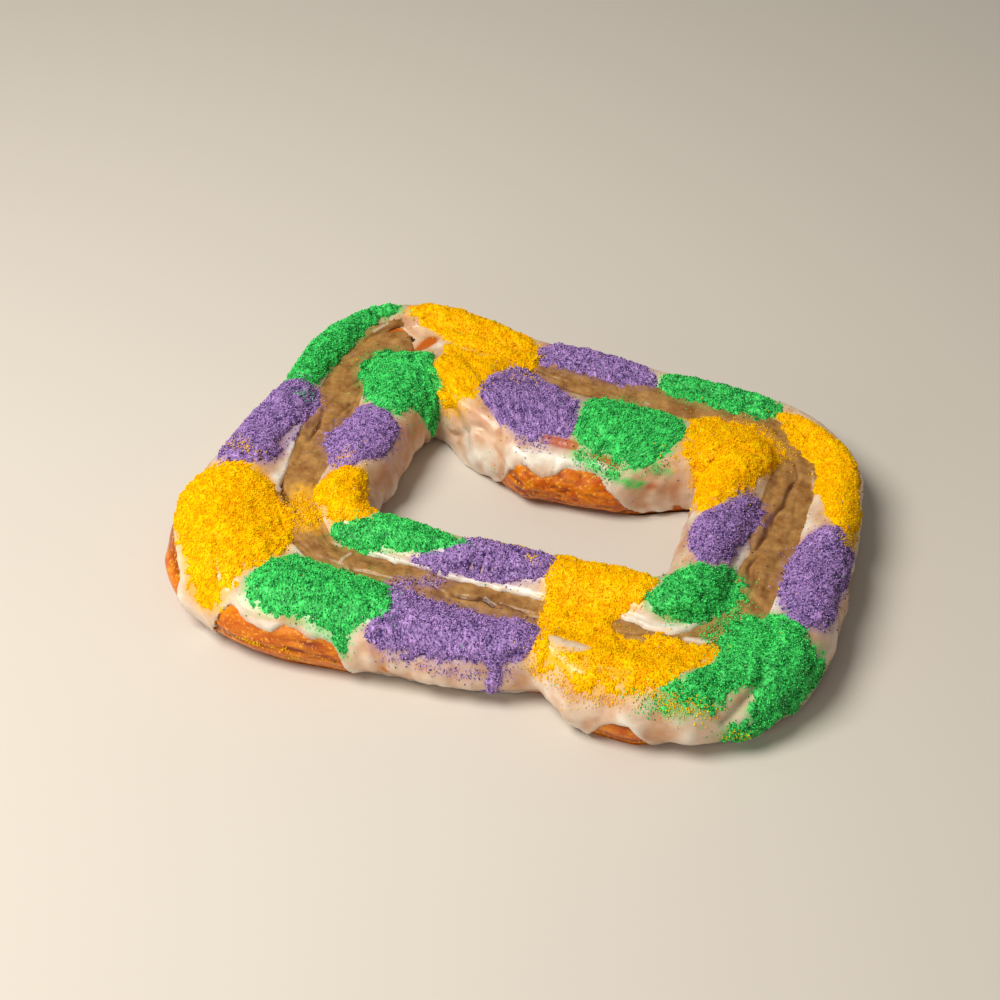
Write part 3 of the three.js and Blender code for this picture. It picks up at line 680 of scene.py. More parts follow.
icing = {
    "step": 1.7,
    "stepLine": 5.0,             # place across where the step is measured
    "top": -0.75,                # lift of its upper side, and how much higher it is in the groove
    "grooveLift": 1.4,
    "wave": 0.55,                # uneven thickness
    "waveSize": 16.0,
    "pebble": 0.25,
    "pebbleSize": 6.0,
    "drip": 2.4,                 # ribs where it ran down the sides
    "dripWidth": 13.0,
    "dripLength": 40.0,
    "dripZone": (5.4, 8),
    "roundness": 2.6,            # radius of its rolled edges
    "floor": 0.4,                # height at which it lies on the floor
    "hemBead": 0.7,              # thicker line above its lower edge: height, distance and width
    "beadPlace": 2.2,
    "beadWidth": 4.5,
    "thickness": 1.5,
    "margin": 1.8,               # how far it goes on under the crust, past its edge
    "haze": 0.32,                # how white it is where it is even
    "opaque": 1.8,               # mm of relief from clear to all white
    "halo": 0.7,                 # strength of the sugar's colour beside a mound
    "finish": {"Roughness": 0.34, "Coat Weight": 0.25, "Coat Roughness": 0.2, "Specular IOR Level": 0.35,
               "Subsurface Weight": 0.35, "Subsurface Scale": 0.004, "Subsurface Radius": (1.0, 0.62, 0.38)},
    "hem": {                     # lower edge as along, across
        1: [(-18, 6.6), (-16, 6.1), (-8, 6.6), (-3, 6.75), (0, 6.15), (16, 6.6), (26, 6.6), (33, 6.9),
            (40, 8.6), (45, 10.1), (58, 10.4), (70, 10.6), (82, 10.2), (93, 10.6), (107, 10.3),
            (124, 10.6), (140, 10.3), (165, 9.7), (178, 10.3), (191, 10.2), (196, 8.8), (201, 7.9),
            (207, 7.4), (212, 7.3), (216, 8.3), (220, 10.2), (232, 10.3), (243, 10.5), (262, 10.3),
            (286, 9.9), (330, 9.8), (380, 9.3), (430, 9.5), (500, 9.1), (560, 9.5), (640, 9.2),
            (700, 9.5), (760, 9.0), (820, 9.4), (870, 9.1), (900, 7.6), (912, 6.7), (922, 6.25),
            (934, 6.3), (940, 6.8), (944, 8.2), (948, 10.0), (953, 9.6)],
        -1: [(10, 9.3), (60, 8.9), (110, 9.4), (170, 9.0), (230, 9.4), (290, 9.0), (350, 9.3),
             (400, 9.7), (430, 9.7), (435, 8.8), (440, 9.7), (466, 9.7), (478, 7.8), (490, 7.2),
             (502, 6.75), (514, 6.4), (527, 6.2), (550, 6.15), (568, 6.25), (580, 6.5), (592, 6.7),
             (604, 6.8), (614, 6.65), (625, 6.4), (634, 6.35), (646, 6.6), (657, 7.0), (663, 7.8),
             (670, 10.0), (700, 10.5), (730, 10.4), (770, 10.1), (785, 9.8), (800, 9.5), (820, 9.9),
             (850, 9.4), (880, 9.8), (905, 9.4), (930, 9.4)],
    },
    "hemRipple": 0.13,
    "rippleSize": 12.0,
    "grooveEdge": {              # upper edge, where it folds into the groove
        1: [(0, 1.15), (250, 1.1), (500, 1.1), (632, 1.1), (644, -0.2), (721, -0.2), (729, 1.7),
            (744, 1.8), (756, 1.3), (850, 1.1), (900, 0.9)],
        -1: [(10, 1.2), (24, 0.75), (50, 0.9), (80, 0.8), (140, 0.85), (160, 1.2), (190, 0.8), (225, 0.55),
             (255, 0.8), (296, 1.05), (308, 0.74), (336, 0.76), (350, 1.1), (480, 1.1), (632, 1.1),
             (644, -0.2), (721, -0.2), (730, 1.1), (900, 1.1)],
    },
    "grooveRipple": 0.16,
    "grooveRippleSize": 9.0,
    "lips": {                    # thick white rolls of icing along the groove: from, to, height
        1: [(838, 902, 0.9), (150, 180, 0.5), (944, 964, 1.4)],
        -1: [(16, 54, 1.6), (52, 144, 1.5), (184, 264, 2.2), (900, 930, 0.8)],
    },
    "lipPlace": 2.5,             # mm from the upper edge
    "lipWidth": 5.0,
    "runLift": 0.6,              # mm of height in one unit of a run
    "runs": [                    # where it set thick and white (+) or ran off thin (-): line, radius, amount
        ([(556, -5.85), (592, -5.85), (650, -6.0)], 3.6, 1.1),
        ([(696, -8.2), (686, -7.2), (676, -8.8)], 6, 1.2),
        ([(662, -6), (700, -5.6)], 7, -0.6), ([(708, 0.8), (720, 0.9)], 7, -0.9),
        ([(280, 1.4), (310, 1.7)], 4, 0.8), ([(360, 1.4), (400, 2.4)], 5, 0.8),
        ([(308, -1.0), (338, -1.2)], 4, 0.9), ([(385, -1.8), (403, -2.2)], 3.5, 0.8),
        ([(337, -5.8), (350, -6.2)], 4, 0.6), ([(845, 1.7), (865, 1.8)], 4, 0.8),
        ([(893, 1.4), (900, 1.4)], 3, 0.7), ([(880, 5.8), (895, 5.4)], 4, 0.7),
        ([(960, -0.8), (976, -1.2)], 4, 0.9), ([(912, -1.4), (945, -1.6)], 4, 0.5),
        ([(158, 3.7), (182, 2.9)], 5, 0.7), ([(40, 8.0), (47, 9.2)], 4, 0.6),
        ([(86, 8.6), (120, 9.0)], 3, 0.5), ([(208, 6.2), (214, 8.2)], 4, 0.6),
        ([(176, 9.0), (192, 9.2)], 4, 0.6), ([(236, 9.2), (262, 9.4)], 4, 0.5),
        ([(8, 6.1), (30, 6.4)], 3.5, 0.6), ([(700, 0.4), (718, 1.4)], 3, 0.7),
        ([(300, 6.6), (345, 7.4)], 8, -0.5), ([(420, -7.5), (462, -8)], 10, -0.4),
        # The run from (60, 7.6) to (120, 7.8) raises the lower front a little and paints it whiter: painted
        # light against the shade under its belly.
        ([(60, 7.6), (120, 7.8)], 9, 0.3), ([(800, -6.6), (870, -7.0)], 10, -0.5),
        ([(54, 10.2), (140, 10.2)], 4, 0.9), ([(600, -5.6), (500, -7.2), (440, -8.4)], 8, 0.35),
        ([(968, 5.8), (982, 5.9)], 3.5, -0.9), ([(282, 8.6), (350, 8.6)], 14, -0.6),
    ],
    "bald": [                    # where the baked dough shows through: line, radius, share
        ([(198, 6.05), (207, 6.0)], 4, 0.45), ([(572, -5.1), (604, -5.05)], 2.6, 2.0),
        ([(546, -5.3), (532, -5.45), (514, -5.65)], 2.2, 1.5), ([(711, -0.5), (723, -1.6)], 4.2, 2.0),
        ([(968, 5.8), (982, 5.9)], 3.5, 0.35),
        ([(454, -6.9), (460, -6.85)], 3.0, 0.6), ([(684, -5.3), (672, -5.5)], 5, 0.3),
        ([(12, 6.3), (30, 6.6)], 5, 0.2), ([(86, 7.6), (140, 7.8)], 9, 0.12),
        ([(300, 6.6), (340, 7.2)], 8, 0.2), ([(800, -6.4), (850, -6.8), (884, -6.6)], 12, 0.25),
        ([(736, -8.4), (780, -8.2)], 8, 0.25), ([(232, 7.8), (244, 8.0)], 6, 0.15),
        # painted shade: this stroke follows the creases between the lobes of the back left corner and paints
        # them darker orange
        ([(714, -8.2), (704, -7.0), (692, -6.2), (683, -6.0), (670, -6.35), (659, -6.9)], 1.4, 0.3),
    ],
}


def icingEdges(along, across, side):
    # distances in mm from the icing's lower and upper edge, positive inside
    spots = plainSkin(along, np.full_like(along, widestAcross * side))
    hem = alongRing(icing["hem"][side], along)
    hem = hem + icing["hemRipple"] * fractal(spots, icing["rippleSize"], 11, 3)
    upper = alongRing(icing["grooveEdge"][side], along)
    upper = upper + icing["grooveRipple"] * fractal(spots, icing["grooveRippleSize"], 12)
    edge = across * side
    return (hem - edge) * rollStep, (edge - upper) * grooveStep


def lipHeight(along, side, above):
    lip = np.zeros_like(along)
    for start, end, height in icing["lips"][side]:
        away, half = np.abs(ringAway(along, (start + end) / 2)), (end - start) / 2
        lip = np.maximum(lip, height * (1 - smoothStep(away, half - 8, half + 4)))
    return lip * np.exp(-((above - icing["lipPlace"]) / icing["lipWidth"]) ** 2)


def icingTop(along, across, side, points):
    # lift of the icing's upper side, how white it is, 0 to 1, and the distance from its edge
    below, above = icingEdges(along, across, side)
    lip = lipHeight(along, side, above)
    bead = icing["hemBead"] * np.exp(-((below - icing["beadPlace"]) / icing["beadWidth"]) ** 2)
    wave = icing["wave"] * fractal(points, icing["waveSize"], 21, 3)
    run = drawn(points, icing["runs"])
    streaks = ringSpots(along, across, icing["dripWidth"], icing["dripLength"])
    ribs = icing["drip"] * fractal(streaks, 1, 23, 2) * smoothStep(np.abs(across), *icing["dripZone"])
    ribs = ribs + icing["pebble"] * fractal(points, icing["pebbleSize"], 24, 2)
    raised = icing["top"] + icing["grooveLift"] * (1 - onRoll(across))
    full = raised + wave + lip + bead + icing["runLift"] * run + ribs
    base = doughLift(across)
    inside = np.minimum(below, above)
    rise = np.clip(inside / icing["roundness"], 0, 1)
    lift = base + (full - base) * np.sqrt(1 - (1 - rise) ** 2)
    sunk = np.minimum(inside, 0)
    relief = wave + lip + bead * 0.7 + run + 0.4 * ribs
    cover = np.clip(relief / icing["opaque"] + icing["haze"], 0, 1)
    return lift + sunk * 0.55 - 0.3 * (sunk < 0), cover, inside


# Sugar that melted into a thin coloured film: colour, line, radius, strength
smears = [
    ("green", [(566, -5.45), (547, -5.7), (523, -6.0), (491, -6.3), (466, -6.7)], 3.4, 1.5),
    ("green", [(484, -5.4), (450, -6.2)], 4.5, 0.8), ("green", [(222, 4.6), (234, 4.4)], 5, 0.9),
    ("purple", [(556, -5.2), (640, -5.2)], 4, 0.3),
    ("gold", [(158, 4.6), (172, 4.7), (190, 4.5), (212, 4.4)], 6.5, 2.4),
    ("gold", [(902, -0.4), (946, -0.4)], 8, 0.9), ("gold", [(150, 6.0), (214, 5.9)], 5, 0.4),
    ("gold", [(640, -0.6), (668, -1.1), (694, -1.1)], 4, 1.4), ("gold", [(118, 9.8), (120, 9)], 3, 0.2),
    ("gold", [(690, -2.4), (704, -6.4)], 6, 0.4),
    ("gold", [(430, -0.4), (478, -0.3)], 6, 0.3), ("purple", [(40, 1.0), (60, 0.2), (76, -0.4)], 5, 0.5),
    ("green", [(262, -0.3), (296, -0.3)], 4, 0.6), ("gold", [(350, 5.8), (372, 6.2)], 9, 0.35),
    ("gold", [(976, 6.2), (968, 7.6)], 4, 0.3), ("green", [(216, 5.6), (236, 6.6)], 7, 0.35),
    ("purple", [(60, 6.6), (140, 6.8)], 6, 0.35), ("purple", [(810, -6.0), (860, -6.2)], 8, 0.25),
]


# Places that stay clean beside the sugar: line, radius, share
cleanSpots = [
    ([(163, 3.55), (169, 3.35), (176, 3.1)], 6.2, 0.95), ([(251, 5.5), (244, 6.1), (234, 6.9)], 6, 0.85),
    ([(604, -5.0), (572, -5.05)], 3.5, 0.9), ([(546, -5.25), (514, -5.6)], 2.4, 0.8),
    ([(711, -0.6), (722, -1.5)], 5, 0.9), ([(216, -0.6), (238, 0.0)], 3, 0.8),
]


def stainOf(along, across, points, halo):
    # colour that the sugar gives to what it lies on, with its strength as the fourth number
    stain = np.zeros((len(along), 4))
    nearest = np.full(len(along), -np.inf)
    fuzz = 3.0 * fractal(points, 5, 31, 4)      # mm that the colour's edge strays
    for colour, look in sugarColours.items():
        film = drawn(points, [mark[1:] for mark in smears if mark[0] == colour])
        near = readField(colourFields[colour], along, across)
        edging = halo * smoothStep(near + 0.7 * fuzz, -5.0, 1.5)
        stain[:, 3] = np.maximum(stain[:, 3], np.maximum(edging, film * smoothStep(fuzz, -2.2, 0.8)))
        claim = near + 20 * film        # the colour with the strongest claim on a place shows
        stain[claim > nearest, :3] = look["film"]
        nearest = np.maximum(nearest, claim)
    stain[:, 3] = np.clip(stain[:, 3], 0, 1) * (1 - np.clip(drawn(points, cleanSpots), 0, 1))
    return stain


def addStain(material, shader, body):
    # the sugar's colour over the body's own
    stain = readValue(material, "stain")
    join(material, blendColours(material, stain.outputs["Alpha"], body, stain.outputs["Color"]),
         shader.inputs["Base Color"])


def icingMaterial():
    material, shader = newMaterial("poured_icing", icing["finish"])
    broad, fine = noiseTexture(material, 14, 4), noiseTexture(material, 8, 3)
    thin = ramp(material, broad, linear(198, 148, 108), linear(214, 180, 150), 0.38, 0.62)
    thick = ramp(material, fine, linear(218, 202, 182), linear(234, 225, 211), 0.35, 0.65)
    body = blendColours(material, mask(material, "cover", 0.2, 0.9), thin, thick)
    worn = blendColours(material, mask(material, "bald", 0.05, 0.75), body, linear(182, 88, 1))
    addStain(material, shader, worn)
    addBump(material, shader, noiseTexture(material, 3.5, 2), 0.22, 0.5)
    return material


def buildIcing():
    material = icingMaterial()
    stops = np.concatenate([np.linspace(-0.5, 2, 20), np.linspace(2, 10.8, 64)[1:]])
    for side, name in ((1, "icing_outer"), (-1, "icing_inner")):
        bm, along, across = skinGrid(evenStops(icing["stepLine"] * side, icing["step"]), stops * side)
        points, normals = skin(along, across)
        lift, cover, inside = icingTop(along, across, side, points)
        places = points + normals * lift[:, None]
        places[:, 2] = np.maximum(places[:, 2], icing["floor"])
        setPlaces(bm, places)
        bald = drawn(points, icing["bald"])
        setValues(bm, cover=cover, bald=bald, stain=stainOf(along, across, points, icing["halo"]))
        faceUp(bm, normals)
        trim(bm, inside > -icing["margin"])
        piece = thicken(finishMesh(bm, f"{name}_coat", material), icing["thickness"])
        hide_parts(name)
        print(name, len(piece.data.polygons))


# ---- filling

filling = {
    "start": 722, "end": 640,
    "step": 1.2,
    "edge": 1.38,                # how far it laps up the rolls, as a place across
    "crease": 0.7,
    "creaseLength": 30.0,
    "creaseWidth": 4.0,
    "creaseStep": 1.5,           # a step across is this much longer in the groove than on a roll
    "knead": 0.9,                # uneven swell and its size
    "kneadSize": 8.0,
    "endDrop": 5.0,              # how far each end bends down, and over what length
    "endLength": 9.0,
    "thickness": 3.0,
    "halo": 0.2,
    "finish": {"Roughness": 0.36, "Coat Weight": 0.12, "Coat Roughness": 0.3, "Specular IOR Level": 0.35,
               "Subsurface Weight": 0.1, "Subsurface Scale": 0.003},
    "fold": {"middle": 733, "core": 9, "half": 24, "spread": 1.75},      # where it is folded over
    "glazeLift": 0.8,            # mm of height in one unit of glaze
    "glaze": [                   # threads of icing over it: line, radius, amount
        ([(10, 0.3), (11, -0.1), (13, -0.5)], 1.3, 0.55), ([(402, 0.9), (418, 0.7)], 1.4, 0.5),
        ([(734, 2.3), (742, 1.9)], 1.4, 0.6), ([(756, 0.7), (764, 0.8)], 1.0, 0.35),
        ([(234, -0.1), (246, 0.3)], 2.6, 0.8),
    ],
    "slits": [                   # cracks and folds: line, radius, height
        ([(890, 1.1), (902, 0.65), (912, 0.3)], 1.5, -3.6), ([(925, 0.0), (940, -0.15)], 1.3, -2.6),
        ([(86, 0.15), (98, 0.1), (104, -0.1), (112, 0.1)], 1.6, -2.6), ([(115, -0.1), (134, 0.1)], 1.0, -1.4),
        ([(52, 0.3), (68, -0.1), (80, 0.2)], 1.2, -1.2), ([(20, 0.5), (48, 0.3)], 1.2, -1.2),
        ([(425, -0.1), (410, 0.1), (396, -0.15), (380, -0.1), (368, -0.35), (356, -0.2)], 1.2, -1.6),
        ([(364, -0.5), (350, -0.3), (336, -0.5)], 1.5, -1.8),
        ([(330, -0.3), (318, -0.5), (302, -0.2)], 1.1, -1.5),
        ([(388, 0.3), (372, 0.5)], 1.2, -1.0), ([(316, 0.4), (296, 0.5)], 1.4, -1.0),
        ([(728, 1.7), (736, 0.9), (747, 0.15), (764, -0.4), (784, -0.5), (796, -0.1)], 1.3, -1.7),
        ([(800, 0.0), (818, 0.5), (836, 0.3), (850, 0.5), (876, 0.6)], 1.3, -1.6),
        ([(806, -0.6), (826, -0.3), (842, -0.6)], 1.2, -1.2), ([(190, 0.0), (208, -0.2)], 1.5, -1.4),
        ([(560, 0.2), (600, 0.1)], 1.2, -1.1), ([(610, -0.3), (640, 0.0)], 1.2, -1.4),
        ([(738, 0.6), (730, -0.2)], 5, 1.2), ([(770, 0.0), (790, -0.1)], 4, 0.8),
        ([(812, 0.0), (846, 0.1)], 4, 0.7), ([(870, -0.2), (895, -0.4)], 6, 1.2),
        ([(400, 0.5), (350, 0.35), (320, 0.1)], 4, 0.7),
    ],
}


def fillingMaterial():
    material, shader = newMaterial("caramel_filling", filling["finish"])
    caramel = noiseTexture(material, 9, 5, 0.65)
    body = ramp(material, caramel, linear(130, 84, 36), linear(176, 132, 74), 0.34, 0.66)
    # painted shade: dark brown in the creases and slits
    creaseShaded = blendColours(material, mask(material, "fold", 0.12, 0.9, 0.85), body, linear(76, 36, 14))
    glazed = blendColours(material, mask(material, "glaze", 0.2, 0.8), creaseShaded, linear(220, 206, 186))
    addStain(material, shader, glazed)
    addBump(material, shader, noiseTexture(material, 2.6, 4, 0.6), 0.6, 0.5)
    return material


def fillingSpread(along, across):
    # how many times wider than its strip the filling is, on the outer side of its fold
    fold = filling["fold"]
    folded = 1 - smoothStep(np.abs(ringAway(along, fold["middle"])), fold["core"], fold["half"])
    return 1 + (fold["spread"] - 1) * folded * (across > 0)


def fillingLift(along, across, points):
    # height of the filling over the skin, the shade painted into its creases and slits, and the icing on it
    edge, rim = np.abs(across) / fillingSpread(along, across), filling["edge"]
    wide = across * filling["creaseStep"]
    crease = fractal(ringSpots(along, wide, filling["creaseLength"], filling["creaseWidth"]), 1, 41, 3)
    slit = drawn(points, filling["slits"])
    glaze = drawn(points, filling["glaze"])
    swell = filling["knead"] * fractal(points, filling["kneadSize"], 42, 2)
    lap = 0.35 - 0.6 * smoothStep(edge, 1.05, rim) - 2.6 * smoothStep(edge, rim, rim + 0.1)
    free = 1 - smoothStep(edge, 0.78, 1.0)
    # painted shade: how dark the hollows of the creases and the slits are painted
    fold = np.clip(-0.8 * crease - 0.5 * slit - 0.1, 0, 1)
    lift = lap + free * (filling["crease"] * crease + slit + swell) + filling["glazeLift"] * glaze
    return lift, fold, glaze


def buildFilling():
    stops = evenStops(0.0, filling["step"])
    stops = np.concatenate([stops[stops > filling["start"]], stops[stops < filling["end"]] + ringLength])
    reach = filling["edge"] + 0.12
    bm, along, across = skinGrid(stops, np.linspace(-reach, reach, 50))
    across = across * fillingSpread(along, across)
    points, normals = skin(along, across)
    lift, fold, glaze = fillingLift(along, across, points)
    ends = np.minimum(along - stops[0], stops[-1] - along)
    near = 1 - np.clip(ends / filling["endLength"], 0, 1)
    roundEnd = filling["endDrop"] * (1 - np.sqrt(1 - near ** 2))
    setPlaces(bm, points + normals * (lift - roundEnd)[:, None])
    setValues(bm, fold=fold, glaze=glaze, stain=stainOf(along, across, points, filling["halo"]))
    faceUp(bm, normals)
    piece = thicken(finishMesh(bm, "filling_strip", fillingMaterial()), filling["thickness"])
    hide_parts("filling")
    print("filling", len(piece.data.polygons))


# ---- sugar

sugar = {
    "step": 0.95,
    "rowSpan": 9.0,              # mm that one step across is taken to be, for the rows
    "margin": 5.0,               # mm of mesh round a mound's outline, before it is trimmed
    "height": 2.4,               # of a mound above the icing
    "sunk": 1.5,                 # how deep its skirt may go into the icing, and where it is trimmed
    "trim": 0.9,
    "slope": 8.0,                # mm from a free edge to full height
    "joinSlope": 2.6,            # the same where two mounds meet
    "wander": 1.8,               # how far an outline strays, in mm, and over what length
    "wanderSize": 10.0,
    "fray": 1.1,
    "fraySize": 3.0,
    "lump": 1.2,
    "lumpSize": 7.0,
    "clump": 0.6,
    "clumpSize": 2.4,
    "gaps": 1.5,                 # thin and bare spots near a free edge
    "gapSize": 4.5,
    "speck": 0.28,
    "speckSize": 1.0,
    "grain": 0.52,               # half size of a grain
    "grainSizes": (0.65, 1.25),  # as shares of it, and how far each grain is drawn out of shape
    "grainStretch": (0.8, 1.2),
    "grainRise": (0.1, 0.9),     # how far a grain stands out, as a share of its half size
    # Partly painted light and shade: the wide spread makes some grains bright like glints and some dark like
    # the gaps between them, and the clumps are lighter and darker patches placed at random; the grains' own
    # colour also varies.
    "tint": (0.54, 0.42),        # mean and spread of the grains' shade, from deep to bright
    "shade": 0.3,                # lighter and darker clumps of grains
    "shadeSize": 3.5,
    "moundGrains": 19600,
    "strayTries": 420000,
    "strayEdge": 9.5,            # the furthest place across that loose grains fall on
    "strayShare": 0.05,          # of the tries right beside a mound
    "strayReach": 3.0,
    "thickness": 1.6,
    "worn": [                    # cracks, thin and bare spots in the mounds: line, radius, height
        ([(90, -2.0), (91, -3.4)], 1.2, -2.8), ([(97, -1.9), (97, -3.2)], 1.2, -3.0),
        ([(103, -2.1), (104, -3.3)], 1.2, -2.8), ([(112, -2.2), (122, -2.6)], 1.1, -1.8),
        ([(408, -2.4), (414, -4.4)], 1.2, -3.0), ([(422, -2.8), (424, -4.0)], 1.1, -2.6),
        ([(434, -2.2), (437, -4.6)], 1.3, -3.2), ([(452, -2.6), (452, -3.8)], 1.1, -2.4),
        ([(462, -3.6), (488, -2.8)], 1.1, -2.0), ([(676, -2.6), (694, -2.2)], 1.2, -2.4),
        ([(684, -3.6), (696, -3.2)], 1.2, -2.4), ([(604, -5.0), (572, -5.05)], 3.0, -3.0),
        ([(300, 3.0), (318, 3.4)], 1.0, -1.2), ([(332, -2.4), (338, -3.2)], 1.6, -1.4),
        ([(163, 3.55), (169, 3.35), (176, 3.1)], 6.2, -6.0), ([(198, 6.0), (206, 6.3)], 5, -3.6),
        ([(164, 4.6), (176, 4.7), (190, 4.5), (206, 4.4)], 7, -2.7), ([(150, 5.8), (164, 5.6)], 4, -1.3),
        ([(269, 3.0), (262, 3.6), (256, 4.0), (252, 5.2)], 1.6, -2.8), ([(240, 4.2), (232, 5.0)], 4, -0.9),
        ([(640, -0.3), (655, -0.8), (672, -1.05), (694, -1.05)], 1.2, -2.6),
        ([(939, 4.4), (951, 5.4)], 1.6, -2.8), ([(938, 6.2), (944, 6.8)], 5, -1.4),
        ([(216, 5.2), (232, 6.2)], 5, -1.5), ([(254, 8.4), (266, 8.0)], 3, -1.6),
        ([(706, -0.8), (716, -1.6), (724, -2.4)], 5, -4.5), ([(606, -4.2), (628, -4.5)], 4, -1.5),
        ([(352, 5.6), (366, 6.0)], 6, -1.5), ([(846, 1.9), (866, 2.2)], 3.4, -3.0),
        ([(838, 2.6), (852, 3.2)], 1.4, -1.6), ([(892, 4.6), (900, 5.0)], 3, -2.0),
        ([(48, 1.4), (60, 2.2)], 4, -0.9), ([(540, -4.6), (556, -4.4)], 4, -1.6), ([(938, -1.45)], 4, -3.6),
    ],
}

# Loose grains strewn away from the mounds: colour, line, spread in mm, count
sprinkles = [
    ("gold", [(212, 4.8), (222, 5.6), (234, 6.2)], 6, 380), ("green", [(212, 5.6), (222, 6.2)], 6, 90),
    ("gold", [(164, 4.5), (190, 4.5), (210, 4.4)], 7, 260),
    ("gold", [(238, 7.6), (246, 8.2)], 4, 70), ("purple", [(46, 0.8), (60, 0.1), (78, -0.4)], 4, 260),
    ("green", [(244, 0.2), (254, -0.1), (272, -0.1), (292, -0.3)], 4, 420),
    ("gold", [(430, -0.4), (460, -0.2), (488, -0.3)], 4, 240),
    ("gold", [(908, -0.3), (928, -0.3), (944, -0.6)], 8, 800), ("gold", [(963, 7.6), (967, 8.0)], 2.5, 130),
    ("gold", [(972, 8.0), (984, 8.6)], 4, 170), ("gold", [(352, 5.2), (362, 5.8), (372, 6.4)], 7, 260),
    ("gold", [(122, -4.2), (128, -3.6)], 4, 50), ("gold", [(80, -5.2), (126, -5.0)], 4, 50),
    ("gold", [(888, 3.4), (880, 4.8)], 7, 120), ("gold", [(876, -2.8), (864, -3.4)], 7, 80),
    ("gold", [(628, -1.6), (640, -2.0)], 8, 60),
    ("green", [(566, -5.4), (547, -5.55), (523, -5.85), (500, -6.1)], 3.5, 420),
    ("green", [(484, -5.4), (456, -6.0)], 4, 50), ("green", [(814, 2.0), (820, 3.2)], 6, 50),
    ("purple", [(60, 6.6), (100, 6.8), (140, 6.6)], 4, 260), ("purple", [(124, 8.2), (128, 9.4)], 3, 60),
    ("purple", [(600, -5.2), (640, -5.3)], 4, 180), ("gold", [(150, 6.4), (170, 6.3), (212, 6.2)], 4, 260),
    ("gold", [(366, -6.4), (404, -7.2)], 5, 180), ("gold", [(712, -5.6), (722, -6.8)], 5, 120),
    ("green", [(700, -3.8), (716, -5.2)], 5, 120), ("purple", [(366, -2.8), (376, -2.0)], 5, 80),
]


def sugarMaterial(colour):
    look = sugarColours[colour]
    material, shader = newMaterial(f"{colour}_sugar", {"Roughness": 0.5, "Specular IOR Level": look["shine"]})
    tint = readValue(material, "tint").outputs["Fac"]
    join(material, ramp(material, tint, look["deep"], look["bright"]), shader.inputs["Base Color"])
    return material


def bedLift(along, across, points):
    # lift of the icing, or of the filling in the groove
    bed = fillingLift(along, across, points)[0]
    for side in (1, -1):
        mine = across * side > 0.15
        if mine.any():
            bed[mine] = np.maximum(bed[mine], icingTop(along[mine], across[mine], side, points[mine])[0])
    return bed


def moundHeight(along, across, points, own, others):
    # height of the sugar over its bed, less than 0 where it is bare, and its lumps; own and others
    # are the distances from its own outline and from the nearest other one
    shifts = [sugar["wander"] * fractal(points, sugar["wanderSize"], seed, 2)
              + sugar["fray"] * fractal(points, sugar["fraySize"], seed + 1, 2) for seed in (51, 54)]
    place = along + shifts[0], across + shifts[1] / rollStep
    own, others = readField(own, *place), readField(others, *place)
    free = np.clip(own / sugar["slope"], -1, 1)
    joined = np.clip((own - others) / 2 / sugar["joinSlope"] + 0.5, -1, 1)
    full = np.where(free < 0, free, np.sqrt(np.clip(free, 0, 1)) * 0.5 + free * 0.5)
    share = np.minimum(full, joined)
    lumps = (sugar["lump"] * fractal(points, sugar["lumpSize"], 61, 3)
             + sugar["clump"] * fractal(points, sugar["clumpSize"], 62, 2))
    gaps = sugar["gaps"] * fractal(points, sugar["gapSize"], 64, 3) * (1 - np.clip(free, 0, 1))
    worn = drawn(points, sugar["worn"])
    inside = np.clip(share * 3, 0, 1)
    return share * sugar["height"] + inside * (lumps + worn) + gaps * np.clip(1 + share * 2, 0, 1), lumps


def buildMound(index, material):
    colour, name, knots = patches[index]
    outline = smoothOutline(knots)
    low, high = outline.min(0) - sugar["margin"], outline.max(0) + sugar["margin"]
    middleLine = np.clip((low[1] + high[1]) / 2 / rollStep, -widestAcross, widestAcross)
    stops = evenStops(middleLine, sugar["step"])
    ranges = [stops + shift for shift in (-ringLength, 0, ringLength)]
    stops = np.unique(np.concatenate([part[(part > low[0]) & (part < high[0])] for part in ranges]))
    edge, rowStep = floorAcross - 0.5, sugar["step"] / sugar["rowSpan"]
    rows = np.arange(max(low[1] / rollStep, -edge), min(high[1] / rollStep, edge), rowStep)
    bm, along, across = skinGrid(stops, rows)
    points, normals = skin(along, across)
    others = np.max([field for other, field in enumerate(patchFields) if other != index], axis=0)
    height, lumps = moundHeight(along, across, points, patchFields[index], others)
    speck = fractal(points, sugar["speckSize"], 63, 1)
    lift = bedLift(along, across, points) + np.maximum(height, -sugar["sunk"])
    lift = lift + sugar["speck"] * speck * (height > 0)
    setPlaces(bm, points + normals * lift[:, None])
    # painted light and shade: the mounds are painted lighter on their raised specks and lumps and darker in
    # the dips between them
    setValues(bm, tint=np.clip(0.34 + 0.8 * speck + 0.25 * lumps, 0, 1), height=height)
    faceUp(bm, normals)
    trim(bm, height > -sugar["trim"])
    piece = thicken(finishMesh(bm, f"{colour}_mound_{name}", material), sugar["thickness"])
    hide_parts(f"sugar_{colour}_{name}")
    return piece


def surfaceSamples(piece, count, random):
    # random places on a mound, evenly by area where it stands above its bed
    mesh = piece.data
    mesh.calc_loop_triangles()
    corners = np.zeros(len(mesh.loop_triangles) * 3, np.int32)
    mesh.loop_triangles.foreach_get("vertices", corners)
    places = np.zeros(len(mesh.vertices) * 3)
    mesh.vertices.foreach_get("co", places)
    heights = np.zeros(len(mesh.vertices))
    mesh.attributes["height"].data.foreach_get("value", heights)
    triangles = places.reshape(-1, 3)[corners.reshape(-1, 3)]
    cross = np.cross(triangles[:, 1] - triangles[:, 0], triangles[:, 2] - triangles[:, 0])
    area = np.linalg.norm(cross, axis=1)
    share = area * smoothStep(heights, -0.3, 0.2)[corners.reshape(-1, 3)].mean(1)
    chosen = random.choice(len(area), count, p=share / share.sum())
    u, v = random.random((2, count, 1))
    flip = u + v > 1
    u, v = np.where(flip, 1 - u, u), np.where(flip, 1 - v, v)
    a, b, c = triangles[chosen].transpose(1, 0, 2)
    return a + (b - a) * u + (c - a) * v, cross[chosen] / area[chosen][:, None]


